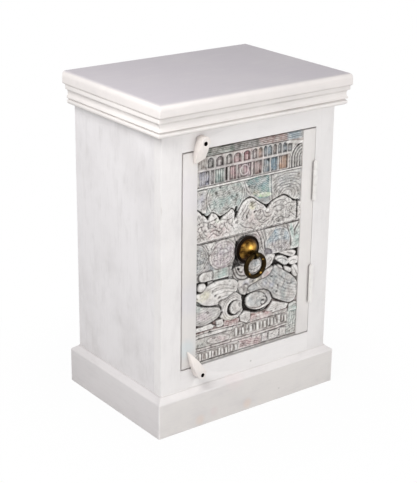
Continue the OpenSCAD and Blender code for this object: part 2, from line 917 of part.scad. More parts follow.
// A leaf-shaped block: round at the screw, running to a thin point reach away along +Z
module turn_button(reach, tail, belly_w) {
    head_z = head_r - tail;
    belly = [belly_w, reach * 0.45];
    away = [belly[0], belly[1] - head_z];
    side = atan2(away[0], away[1]) + acos(head_r / norm(away));
    hold = head_r - 0.1;
    touch = [hold * sin(side), head_z + hold * cos(side)];
    tip_w = 1.2;
    difference() {
        intersection() {
            standing(-button_play, button_t - button_play) {
                translate([0, head_z]) circle(r = head_r);
                polygon([touch, belly, [tip_w, reach], [-tip_w, reach], [-belly_w, belly[1]],
                    [-touch[0], touch[1]], [0, head_z]]);
            }
            rotate([90, 0, 90]) translate([0, 0, -head_r - 1]) linear_extrude(2 * head_r + 2)
                polygon([[0, -tail - 1], [-button_t, -tail - 1], [-button_t, head_r],
                    [-tip_t, reach], [0, reach]]);
        }
        rotate([90, 0, 0]) cylinder(r = screw_r + running, h = button_t + 1);
        translate([0, -button_t + counterbore_d, 0]) rotate([90, 0, 0])
            cylinder(r = counterbore_r, h = counterbore_d + 1);
    }
}

// A round-headed screw, whose head turns free of the counterbore's floor
module button_screw() {
    head_y = -button_t + counterbore_d - 0.1;
    translate([0, head_y, 0]) rotate([90, 0, 0]) cylinder(r = screw_head_r, h = screw_head_t);
    translate([0, screw_in_wood, 0]) rotate([90, 0, 0]) cylinder(r = screw_r, h = screw_in_wood - head_y);
}

module turn_button_top() {
    color(white_door) placed() button_place(button_top_z) rotate([0, 180 + lean_top, 0])
        turn_button(reach_top, tail_top, belly_top);
}

module turn_button_bottom() {
    color(white_door) placed() button_place(button_low_z) rotate([0, -lean_low, 0])
        turn_button(reach_low, tail_low, belly_low);
}

module button_screw_top() { color(steel) placed() button_place(button_top_z) button_screw(); }

module button_screw_bottom() { color(steel) placed() button_place(button_low_z) button_screw(); }

side_panel_left();
side_panel_right();
back_panel();
bottom_board();
bottom_cleat_left();
bottom_cleat_right();
shelf();
shelf_cleat_left();
shelf_cleat_right();
top_board();
top_batten_front();
top_batten_back();
top_screws();
face_stile_left();
face_stile_right();
face_rail_top();
face_rail_bottom();
door_stop();
cornice_front();
cornice_left();
cornice_right();
plinth_front();
plinth_left();
plinth_right();
plinth_back();
back_nails();
door_stile_latch();
door_stile_hinge();
carved_board();
door_batten_top();
door_batten_bottom();
batten_screws();
hinge_upper_frame_leaf();
hinge_upper_door_leaf();
hinge_upper_pin();
hinge_lower_frame_leaf();
hinge_lower_door_leaf();
hinge_lower_pin();
hinge_frame_screws();
hinge_door_screws();
pull_rose();
pull_dome();
pull_eye();
pull_washer();
pull_nut();
pull_ring();
turn_button_top();
turn_button_bottom();
button_screw_top();
button_screw_bottom();
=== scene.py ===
"""Bedside pot cupboard: white painted wood, a door with a carved board, a brass ring pull and
wooden turn buttons."""

import math

import bmesh
import bpy
import numpy as np
from bpy.props import FloatProperty, FloatVectorProperty, PointerProperty
from mathutils import Matrix, Quaternion, Vector


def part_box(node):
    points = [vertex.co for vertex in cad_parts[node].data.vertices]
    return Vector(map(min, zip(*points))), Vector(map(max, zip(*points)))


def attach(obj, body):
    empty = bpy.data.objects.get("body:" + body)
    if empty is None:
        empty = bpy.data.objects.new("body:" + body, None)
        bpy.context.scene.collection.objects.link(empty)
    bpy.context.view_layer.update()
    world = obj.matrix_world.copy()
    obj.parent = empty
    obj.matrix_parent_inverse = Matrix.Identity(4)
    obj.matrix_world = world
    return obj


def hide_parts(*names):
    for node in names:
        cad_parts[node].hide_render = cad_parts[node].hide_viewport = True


bl_info = {
    "name": "Bedside Pot Cupboard",
    "version": (1, 0, 0),
    "blender": (4, 5, 0),
    "location": "View3D > Sidebar > Cupboard",
    "description": "Builds a painted bedside pot cupboard with a carved door",
    "category": "Object",
}

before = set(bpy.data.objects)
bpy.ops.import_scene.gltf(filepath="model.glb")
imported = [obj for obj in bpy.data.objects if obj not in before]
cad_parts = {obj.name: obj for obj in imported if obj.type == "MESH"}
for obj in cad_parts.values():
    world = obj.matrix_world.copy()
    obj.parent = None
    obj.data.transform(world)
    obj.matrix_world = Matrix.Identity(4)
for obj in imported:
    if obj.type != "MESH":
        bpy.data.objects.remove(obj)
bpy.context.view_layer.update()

MM = 0.001


def shade(red, green, blue):
    """A colour written in 0 to 255, as the linear values that shaders take."""
    return tuple(
        c / 12.92 if c <= 0.04045 else ((c + 0.055) / 1.055) ** 2.4
        for c in (red / 255, green / 255, blue / 255)
    )


def rgba(colour):
    """A colour with its alpha, as sockets take it."""
    return (*colour[:3], 1.0)


def middle(box, axis):
    """The middle of a node's box along an axis: 0, 1 or 2."""
    return (box[0][axis] + box[1][axis]) / 2


# ---- places that pieces share ----

STILE_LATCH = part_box("door_stile_latch")
STILE_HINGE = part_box("door_stile_hinge")
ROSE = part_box("pull_rose")
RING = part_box("pull_ring")
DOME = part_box("pull_dome")

FRONT_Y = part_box("face_stile_left")[0].y
BOARD_X = (STILE_LATCH[1].x, STILE_HINGE[0].x)
BOARD_Z = (STILE_LATCH[0].z, STILE_LATCH[1].z)
BOARD_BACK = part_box("carved_board")[1].y
PULL = Vector((middle(ROSE, 0), FRONT_Y, middle(ROSE, 2)))
HINGE_X = middle(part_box("hinge_upper_pin"), 0)
CORNICE_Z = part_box("cornice_front")[0].z / MM
TOP_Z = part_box("cornice_front")[1].z / MM
PLINTH_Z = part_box("plinth_front")[1].z / MM
SIDE_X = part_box("side_panel_right")[1].x

# In millimetres: the front of the face frame and door, and the foot of the plinth's front.
FACE_Y = FRONT_Y / MM
FOOT_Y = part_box("plinth_front")[0].y / MM

# The camera's place, what it looks at, and how far it leans, read from the cupboard's edges.
CAMERA_AT = Vector((-1.3670, -1.7946, 1.1244))
CAMERA_AIM = Vector((-0.0127, -0.0235, 0.2938))
CAMERA_ROLL = math.radians(0.858)


# ---- settings ----


class CupboardPaint(bpy.types.PropertyGroup):
    # Painted shade: the top face gets a darker tone than the sides because less light falls on it
    # from above.
    top_shaded_colour: FloatVectorProperty(
        name="Top", description="Paint of the top board", subtype="COLOR", size=3, min=0, max=1,
        default=shade(191, 185, 191),
    )
    body_colour: FloatVectorProperty(
        name="Body", description="Paint of the sides, face frame and mouldings", subtype="COLOR",
        size=3, min=0, max=1, default=shade(235, 232, 231),
    )
    door_colour: FloatVectorProperty(
        name="Door", description="Paint of the door's stiles and the turn buttons",
        subtype="COLOR", size=3, min=0, max=1, default=shade(228, 224, 221),
    )
    undercoat: FloatVectorProperty(
        name="Undercoat", description="Greyer tone that shows through in streaks",
        subtype="COLOR", size=3, min=0, max=1, default=shade(206, 202, 202),
    )
    # Painted shade: the grey that darkens the creases and the places under the mouldings, where
    # shade falls.
    crease_shade: FloatVectorProperty(
        name="Crease shade", description="Grey dirt held in the creases", subtype="COLOR", size=3, min=0,
        max=1, default=shade(138, 128, 120),
    )
    edge_round: FloatProperty(
        name="Edge round", description="Radius of the sanded edges", subtype="DISTANCE",
        unit="LENGTH", default=1.1 * MM, min=0.2 * MM, max=2 * MM,
    )


class CupboardCarving(bpy.types.PropertyGroup):
    relief: FloatProperty(
        name="Relief", description="Depth from the highest carving to the ground",
        subtype="DISTANCE", unit="LENGTH", default=6 * MM, min=2 * MM, max=8 * MM,
    )
    pitch: FloatProperty(
        name="Pitch", description="Spacing of the carved surface's points", subtype="DISTANCE",
        unit="LENGTH", default=1.06 * MM, min=0.9 * MM, max=4 * MM,
    )
    # The stain colour also darkens the hollows as painted shade.
    stain: FloatVectorProperty(
        name="Stain", description="Dark stain left in the recesses", subtype="COLOR", size=3,
        min=0, max=1, default=shade(20, 14, 12),
    )
    wash: FloatVectorProperty(
        name="Wash", description="White wash rubbed over the carving", subtype="COLOR", size=3,
        min=0, max=1, default=shade(246, 243, 240),
    )
    # The high places also take extra wash as painted highlight.
    wash_amount: FloatProperty(
        name="Wash amount", description="Share of the wash left on the high places",
        subtype="FACTOR", default=0.45, min=0, max=1,
    )


class CupboardMetal(bpy.types.PropertyGroup):
    brass: FloatVectorProperty(
        name="Brass", description="Worn brass of the dome", subtype="COLOR", size=3, min=0, max=1,
        default=shade(212, 164, 80),
    )
    patina: FloatVectorProperty(
        name="Patina", description="Dark brown age on the brass", subtype="COLOR", size=3, min=0,
        max=1, default=shade(62, 40, 18),
    )
    screw: FloatVectorProperty(
        name="Screws", description="Steel of the screws and nails", subtype="COLOR", size=3,
        min=0, max=1, default=shade(120, 116, 112),
    )


class CupboardStage(bpy.types.PropertyGroup):
    lens: FloatProperty(
        name="Lens", description="Focal length on a 36 mm sensor, in millimetres", default=98.17,
        min=20, max=200,
    )
    sky: FloatProperty(
        name="Sky", description="Strength of the even light", default=0.57, min=0, max=2
    )
    key: FloatProperty(
        name="Key", description="Power of the lamp at the left", default=8.0, min=0, max=500,
        subtype="POWER",
    )
    fill: FloatProperty(
        name="Fill", description="Power of the lamp at the front", default=12.7, min=0, max=500,
        subtype="POWER",
    )


SETTINGS = (
    ("cupboard_paint", CupboardPaint),
    ("cupboard_carving", CupboardCarving),
    ("cupboard_metal", CupboardMetal),
    ("cupboard_stage", CupboardStage),
)


# ---- shader building ----


class Graph:
    """Adds nodes to a material's or a group's tree and joins them."""

    def __init__(self, tree):
        self.tree = tree

    def node(self, kind, inputs=None, **settings):
        node = self.tree.nodes.new(kind)
        for name, value in settings.items():
            setattr(node, name, value)
        for name, value in (inputs or {}).items():
            if isinstance(value, bpy.types.NodeSocket):
                self.tree.links.new(value, node.inputs[name])
            else:
                node.inputs[name].default_value = value
        return node

    def group(self, name, inputs):
        """The outputs of a shared group, with the inputs given."""
        tree = bpy.data.node_groups.get(name) or new_group(name)
        return self.node("ShaderNodeGroup", inputs, node_tree=tree).outputs

    def place(self):
        """The piece's own coordinates."""
        return self.node("ShaderNodeTexCoord").outputs["Object"]

    def attribute(self, name, kind="Fac"):
        return self.node("ShaderNodeAttribute", attribute_name=name).outputs[kind]

    def stretched(self, vector, scale):
        return self.node("ShaderNodeMapping", {"Vector": vector, "Scale": scale}).outputs[0]

    def noise(self, vector, scale, detail, roughness=0.5, distortion=0.0):
        return self.node(
            "ShaderNodeTexNoise",
            {
                "Vector": vector, "Scale": scale, "Detail": detail, "Roughness": roughness,
                "Distortion": distortion,
            },
        ).outputs["Fac"]

    def span(self, value, low, high, to_low=0.0, to_high=1.0):
        """The value from low to high made a soft run from to_low to to_high."""
        return self.node(
            "ShaderNodeMapRange",
            {
                "Value": value, "From Min": low, "From Max": high, "To Min": to_low,
                "To Max": to_high,
            },
            interpolation_type="SMOOTHSTEP",
        ).outputs[0]

    def math(self, operation, a, b=0.0, clamp=False):
        return self.node(
            "ShaderNodeMath", {0: a, 1: b}, operation=operation, use_clamp=clamp
        ).outputs[0]

    def times(self, a, b, clamp=False):
        return self.math("MULTIPLY", a, b, clamp)

    def plus(self, a, b, clamp=False):
        return self.math("ADD", a, b, clamp)

    def lines(self, level, places):
        """Soft level lines, given as (height, half width, strength) in millimetres."""
        total = 0.0
        for height, reach, strength in places:
            away = self.math("ABSOLUTE", self.math("SUBTRACT", level, height * MM))
            total = self.math(
                "MAXIMUM", total, self.span(away, 0.0, reach * MM, strength, 0.0)
            )
        return total

    def blend(self, factor, a, b):
        """Colour a turned to colour b by a factor; 6 and 7 are the Mix node's colour inputs."""
        return self.node("ShaderNodeMix", {0: factor, 6: a, 7: b}, data_type="RGBA").outputs[2]


def painted_wood(graph, source):
    """Brushed paint over wood whose grain runs along Z, with painted shade darkening its creases.
    """
    at = source["Vector"]
    along = graph.stretched(at, (1, 1, 0.06))
    clouds = graph.noise(at, 7, 4, 0.6)
    mottle = graph.noise(graph.stretched(at, (1, 1, 0.35)), 55, 3, 0.6)
    brush = graph.noise(along, 300, 4, 0.65)
    pores = graph.span(graph.noise(along, 900, 2), 0.62, 0.74)
    soft = graph.times(graph.span(clouds, 0.4, 0.7), 0.3)
    patch = graph.times(graph.span(mottle, 0.48, 0.75), 0.22)
    streak = graph.times(graph.span(brush, 0.5, 0.8), 0.17)
    amount = graph.plus(soft, graph.plus(patch, streak))
    amount = graph.times(amount, source["Streaks"], clamp=True)
    colour = graph.blend(amount, source["Colour"], source["Undercoat"])
    worn = graph.times(source["Edge"], graph.span(mottle, 0.5, 0.66, 0.0, 0.3))
    colour = graph.blend(worn, colour, rgba(shade(176, 160, 146)))
    fine = graph.times(pores, graph.times(0.06, source["Streaks"]))
    colour = graph.blend(fine, colour, rgba(shade(150, 138, 128)))
    # Painted shade: the creases are darkened towards the crease colour, in patches.
    held = graph.times(source["Crease"], graph.span(clouds, 0.35, 0.65, 0.35, 1.15), clamp=True)
    colour = graph.blend(held, colour, source["Crease shade"])
    height = graph.plus(
        graph.times(brush, 0.55), graph.plus(graph.times(mottle, 0.9), graph.times(pores, -0.35))
    )
    return colour, graph.span(brush, 0.3, 0.75, 0.5, 0.64), height


def softwood(graph, source):
    """Unpainted softwood whose grain runs along Z."""
    at = source["Vector"]
    bent = graph.noise(graph.stretched(at, (1, 1, 0.12)), 14, 3, 0.5, 0.6)
    rings = graph.node(
        "ShaderNodeTexWave",
        {
            "Vector": graph.stretched(at, (1, 1, 0.05)), "Scale": 26, "Distortion": 5,
            "Detail": 3, "Detail Scale": 1.4,
        },
        bands_direction="X",
    ).outputs["Fac"]
    fibres = graph.noise(graph.stretched(at, (1, 1, 0.03)), 800, 3, 0.6)
    amount = graph.plus(
        graph.times(graph.span(rings, 0.35, 1.0), 0.55),
        graph.times(graph.span(fibres, 0.45, 0.75), 0.4), clamp=True,
    )
    colour = graph.blend(amount, source["Colour"], source["Grain"])
    wavy = graph.times(graph.span(bent, 0.4, 0.7), 0.3)
    colour = graph.blend(wavy, colour, source["Grain"])
    height = graph.plus(fibres, graph.times(rings, 0.4))
    return colour, graph.span(fibres, 0.3, 0.8, 0.62, 0.8), height


def aged_brass(graph, source):
    """Brass that is bright where its patina amount is low and brown where it is high; pieces feed
    painted highlights and shade into that amount.
    """
    at = source["Vector"]
    patches = graph.noise(at, 160, 5, 0.62)
    specks = graph.noise(at, 900, 3, 0.6)
    spread = graph.plus(graph.span(patches, 0.35, 0.65, -0.16, 0.16), source["Age"])
    amount = graph.plus(spread, graph.times(graph.span(specks, 0.55, 0.75), 0.14), clamp=True)
    colour = graph.blend(amount, source["Brass"], source["Patina"])
    rough = graph.plus(graph.times(amount, 0.12), graph.span(specks, 0.3, 0.7, 0.24, 0.33))
    return colour, rough, graph.plus(patches, graph.times(specks, 0.35))


# Each shared group's name, what fills it, and its inputs after Vector with their defaults.
GROUPS = {
    "Painted wood": (painted_wood, {
        "Colour": (1, 1, 1, 1), "Undercoat": (0.5, 0.5, 0.5, 1), "Crease shade": (0.3, 0.3, 0.3, 1),
        "Edge": 0.0, "Crease": 0.0, "Streaks": 1.0,
    }),
    "Bare wood": (softwood, {"Colour": (1, 1, 1, 1), "Grain": (0.5, 0.5, 0.5, 1)}),
    "Aged brass": (aged_brass, {
        "Brass": (1, 1, 1, 1), "Patina": (0.1, 0.1, 0.1, 1), "Age": 0.5,
    }),
}


def new_group(name):
    """Builds a shared group, with Colour, Roughness and Height as its outputs."""
    fill, inputs = GROUPS[name]
    tree = bpy.data.node_groups.new(name, "ShaderNodeTree")
    tree.interface.new_socket("Vector", in_out="INPUT", socket_type="NodeSocketVector")
    for label, default in inputs.items():
        kind = "NodeSocketColor" if isinstance(default, tuple) else "NodeSocketFloat"
        socket = tree.interface.new_socket(label, in_out="INPUT", socket_type=kind)
        socket.default_value = default
    for label, kind in (("Colour", "Color"), ("Roughness", "Float"), ("Height", "Float")):
        tree.interface.new_socket(label, in_out="OUTPUT", socket_type=f"NodeSocket{kind}")
    graph = Graph(tree)
    made = fill(graph, graph.node("NodeGroupInput").outputs)
    graph.node("NodeGroupOutput", dict(enumerate(made)))
    return tree


def new_material(name):
    """An empty material, and the graph that fills it."""
    material = bpy.data.materials.new(name)
    material.use_nodes = True
    material.node_tree.nodes.clear()
    return material, Graph(material.node_tree)


def finish_material(graph, colour, roughness, height, bump, distance, metallic=0.0, specular=0.5):
    """Joins the colours to a Principled shader and the material's output."""
    inputs = {"Base Color": colour, "Roughness": roughness, "Metallic": metallic,
              "Specular IOR Level": specular}
    if height is not None:
        inputs["Normal"] = graph.node(
            "ShaderNodeBump", {"Height": height, "Strength": bump, "Distance": distance}
        ).outputs[0]
    shader = graph.node("ShaderNodeBsdfPrincipled", inputs)
    graph.node("ShaderNodeOutputMaterial", {"Surface": shader.outputs[0]})


# How a piece's coordinates are turned, so that its grain lies along Z.
GRAIN_TURN = {"X": (0, math.pi / 2, 0), "Y": (math.pi / 2, 0, 0), "Z": (0, 0, 0)}


def along_grain(graph, grain="Z"):
    """The piece's own coordinates, turned so that its grain lies along Z."""
    return graph.node(
        "ShaderNodeMapping", {"Vector": graph.place(), "Rotation": GRAIN_TURN[grain]}
    ).outputs[0]


def level_of(graph):
    """Height over the floor."""
    return graph.node("ShaderNodeSeparateXYZ", {0: graph.place()}).outputs["Z"]


def painted(
    name, colour, grain="Z", streaks=1.0, specular=0.4, second=None, creases=(), lumps=0.5,
    spots=(),
):
    """White paint brushed along the grain, with a second tone where a piece is marked for it; the
    pieces use that tone for painted light and shade.

    Creases are (level, reach, strength) of painted shade along level lines, lumps is the depth of
    the brushed surface, and spots are (place, radius, strength, colour); lengths are in
    millimetres.
    """
    label = f"{name}_{grain.lower()}"
    if label in bpy.data.materials:
        return bpy.data.materials[label]
    material, graph = new_material(label)
    paint = bpy.context.scene.cupboard_paint
    tone = rgba(colour)
    # The second tone is painted light on some pieces and painted shade on others.
    if second is not None:
        tone = graph.blend(graph.attribute("second"), tone, rgba(second))
    out = graph.group(
        "Painted wood",
        {
            "Vector": along_grain(graph, grain), "Colour": tone,
            "Undercoat": rgba(paint.undercoat), "Crease shade": rgba(paint.crease_shade),
            "Edge": graph.attribute("edge"),
            "Crease": graph.lines(level_of(graph), creases) if creases else 0.0,
            "Streaks": streaks,
        },
    )
    tone = out["Colour"]
    for place, radius, strength, stain in spots:
        away = graph.node(
            "ShaderNodeVectorMath", {0: graph.place(), 1: Vector(place) * MM},
            operation="DISTANCE",
        ).outputs["Value"]
        near = graph.span(away, 0.25 * radius * MM, radius * MM, strength, 0.0)
        tone = graph.blend(near, tone, rgba(stain))
    finish_material(graph, tone, out["Roughness"], out["Height"], 0.28, lumps * MM,
                    specular=specular)
    return material


def bare_wood(grain):
    """Unpainted wood with its grain along X, Y or Z."""
    label = f"bare_wood_{grain.lower()}"
    if label in bpy.data.materials:
        return bpy.data.materials[label]
    material, graph = new_material(label)
    out = graph.group(
        "Bare wood",
        {
            "Vector": along_grain(graph, grain), "Colour": rgba(shade(200, 172, 136)),
            "Grain": rgba(shade(160, 124, 86)),
        },
    )
    finish_material(graph, out["Colour"], out["Roughness"], out["Height"], 0.3, 0.4 * MM,
                    specular=0.3)
    return material


def steel(name, colour, dull):
    """Speckled steel; dull is the colour of its specks."""
    material, graph = new_material(name)
    at = along_grain(graph)
    specks = graph.noise(at, 700, 4, 0.6)
    colour = graph.blend(graph.span(specks, 0.4, 0.7), rgba(colour), rgba(dull))
    finish_material(graph, colour, graph.span(specks, 0.3, 0.7, 0.32, 0.5), specks, 0.2,
                    0.1 * MM, metallic=1.0)
    return material


# ---- piece building ----

WELD = 0.004 * MM  # points of a CAD mesh this near are one
MITRE_WELD = 0.09 * MM  # the same along a mitre, where the run's cut ends were left out
MITRE_BAND = 0.05 * MM  # how far from the mitre's line its points may lie
FLAT = math.radians(0.6)  # faces that meet at less than this are one face
SHARP = math.radians(38)  # edges with a sharper turn than this are rounded
SMOOTH = math.radians(34)  # edges with a softer turn than this are shaded smooth


def new_piece(name, bm, material, body, replaces, smooth_below=SMOOTH):
    """Makes a bmesh an object that rides on a body, in the place of CAD nodes."""
    mesh = bpy.data.meshes.new(name)
    bm.to_mesh(mesh)
    bm.free()
    for face in mesh.polygons:
        face.use_smooth = True
    mesh.set_sharp_from_angle(angle=smooth_below)
    for finish in material if isinstance(material, tuple) else (material,):
        mesh.materials.append(finish)
    piece = bpy.data.objects.new(name, mesh)
    bpy.context.scene.collection.objects.link(piece)
    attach(piece, body)
    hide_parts(*replaces)
    return piece


def plan(bm):
    """The lowest and the highest x and y of a bmesh."""
    return [[pick(v.co[k] for v in bm.verts) for k in (0, 1)] for pick in (min, max)]


def inset(bm, back=True):
    """Each point with how far it lies inside the nearer x side and the nearer y side.

    Without back, only the front counts as a y side; 1 m stands for the side that is left out.
    """
    low, high = plan(bm)
    return [
        (
            v, min(v.co.x - low[0], high[0] - v.co.x),
            min(v.co.y - low[1], high[1] - v.co.y if back else 1),
        )
        for v in bm.verts
    ]


def round_corners(bm, radius, back=True, steps=4):
    """Rounds the upright corners in plan; a profile's inner parts get a smaller radius."""
    low, high = plan(bm)
    sides = [(0, low[0], 1), (0, high[0], -1), (1, low[1], 1)] + [(1, high[1], -1)] * back
    for axis, side, way in sides:
        for k in range(1, steps + 1):
            place, normal = Vector((0, 0, 0)), Vector((0, 0, 0))
            place[axis], normal[axis] = side + way * radius * k / steps, 1
            bmesh.ops.bisect_plane(
                bm, geom=[*bm.verts, *bm.edges, *bm.faces], dist=0.001 * MM, plane_co=place,
                plane_no=normal,
            )
    for v, u, w in inset(bm, back):
        near, far = min(u, w), max(u, w)
        if far >= radius or near >= radius - 0.01 * MM:
            continue
        turn = math.radians(45) * (radius - far) / (radius - near)
        to_near = radius - (radius - near) * math.cos(turn)
        to_far = radius - (radius - near) * math.sin(turn)
        new_u, new_w = (to_near, to_far) if u <= w else (to_far, to_near)
        v.co.x += (new_u - u) * (1 if v.co.x < (low[0] + high[0]) / 2 else -1)
        v.co.y += (new_w - w) * (1 if v.co.y < (low[1] + high[1]) / 2 else -1)


def merged(*nodes):
    """CAD nodes' meshes as one bmesh, their loose triangles joined into whole faces.

    Where boards meet in a mitre, their cut ends are left out, so that they join up. The faces of
    boards that run along Y take the second material.
    """
    bm = bmesh.new()
    for node in nodes:
        bm.from_mesh(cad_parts[node].data)
    for layer in list(bm.loops.layers.uv):
        bm.loops.layers.uv.remove(layer)
    if len(nodes) > 1:
        cuts = [
            f for f in bm.faces
            if abs(abs(f.normal.x) - abs(f.normal.y)) < 0.02 and abs(f.normal.z) < 0.02
        ]
        bmesh.ops.delete(bm, geom=cuts, context="FACES")
        for face in bm.faces:
            middle = face.calc_center_median()
            face.material_index = int(abs(middle.x) > SIDE_X)
    bmesh.ops.remove_doubles(bm, verts=bm.verts, dist=WELD)
    if len(nodes) > 1:
        mitre = [v for v, u, w in inset(bm) if abs(u - w) < MITRE_BAND]
        bmesh.ops.remove_doubles(bm, verts=mitre, dist=MITRE_WELD)
    bmesh.ops.dissolve_limit(
        bm, angle_limit=FLAT, use_dissolve_boundaries=False, verts=bm.verts, edges=bm.edges,
        delimit={"MATERIAL"},
    )
    return bm


def soften(bm, width, segments=2, only=None):
    """Rounds the sharp edges and marks the rounds in the edge attribute."""
    edges = [
        e for e in bm.edges
        if len(e.link_faces) == 2 and e.calc_face_angle(0) > SHARP and (only is None or only(e))
    ]
    layer = bm.loops.layers.float.get("edge") or bm.loops.layers.float.new("edge")
    made = bmesh.ops.bevel(
        bm, geom=edges, offset=width, offset_type="OFFSET", segments=segments, profile=0.5,
        affect="EDGES", clamp_overlap=True, material=-1,
    )
    for face in made["faces"]:
        for loop in face.loops:
            loop[layer] = 1.0
    bmesh.ops.triangulate(
        bm, faces=[f for f in bm.faces if len(f.verts) > 4], quad_method="BEAUTY",
        ngon_method="BEAUTY",
    )


def mark(bm, name, value):
    """Sets an attribute from each face and the place of each of its corners."""
    layer = bm.loops.layers.float.new(name)
    for face in bm.faces:
        for loop in face.loops:
            loop[layer] = float(value(face, loop.vert.co))


def painted_copy(node, material, width, body, second=None):
    """A painted piece in the shape of a CAD node, with sanded edges."""
    bm = merged(node)
    soften(bm, width)
    if second:
        mark(bm, "second", second)
    new_piece(f"{node}_painted", bm, material, body, (node,))


# ---- carving ----
# Places on the board are in millimetres: x from the middle of the cupboard, z from the floor.

TOP_LEVEL = 6.0  # the carving's highest level over its ground; the settings' relief scales it
SEAT_RADIUS = 24.2  # of the flat round that the ring pull's rose sits on
WEATHER_SEED = 7

TONES = {
    "white": shade(238, 234, 231), "pale": shade(214, 208, 205), "grey": shade(184, 182, 180),
    "stone": shade(176, 167, 162),
    "cool": shade(170, 175, 177), "moss": shade(128, 146, 132), "slate": shade(118, 116, 112),
    "teal": shade(138, 178, 174), "aqua": shade(188, 208, 202), "blue": shade(120, 160, 180),
    "haze": shade(168, 188, 200), "lilac": shade(188, 188, 206), "mauve": shade(206, 190, 196),
    "pink": shade(214, 178, 180), "rose": shade(186, 116, 124), "clay": shade(178, 140, 134),
    "peach": shade(220, 184, 156), "orange": shade(206, 166, 140), "cream": shade(226, 220, 180),
    "lime": shade(188, 212, 168), "dusk": shade(150, 146, 158),
}


def path_of(points):
    """Points given as x, z, x, z, as rows of two."""
    return np.reshape(np.array(points, float), (-1, 2))


def smooth_path(points, closed, steps=6):
    """A curve through the points, as a list of places."""
    p = path_of(points)
    n = len(p)
    out = []
    for i in range(n if closed else n - 1):
        if closed:
            a, b, c, d = p[i - 1], p[i], p[(i + 1) % n], p[(i + 2) % n]
        else:
            a, b, c, d = p[max(i - 1, 0)], p[i], p[i + 1], p[min(i + 2, n - 1)]
        for k in range(steps):
            t = k / steps
            out.append(
                0.5 * (2 * b + (c - a) * t + (2 * a - 5 * b + 4 * c - d) * t * t
                       + (3 * b - a - 3 * c + d) * t ** 3)
            )
    if not closed:
        out.append(p[-1])
    return np.array(out)


def soft_step(t):
    """Runs softly from 0 to 1 where t does, and stays there."""
    t = np.clip(t, 0, 1)
    return t * t * (3 - 2 * t)


def blurred(field, radius):
    """The field averaged over a square of that many points each way, twice."""
    width = 2 * radius + 1
    for _ in range(4):  # along z and along x in turn
        total = np.cumsum(np.pad(field, ((radius + 1, radius), (0, 0)), "edge"), axis=0)
        field = ((total[width:] - total[:-width]) / width).T
    return field


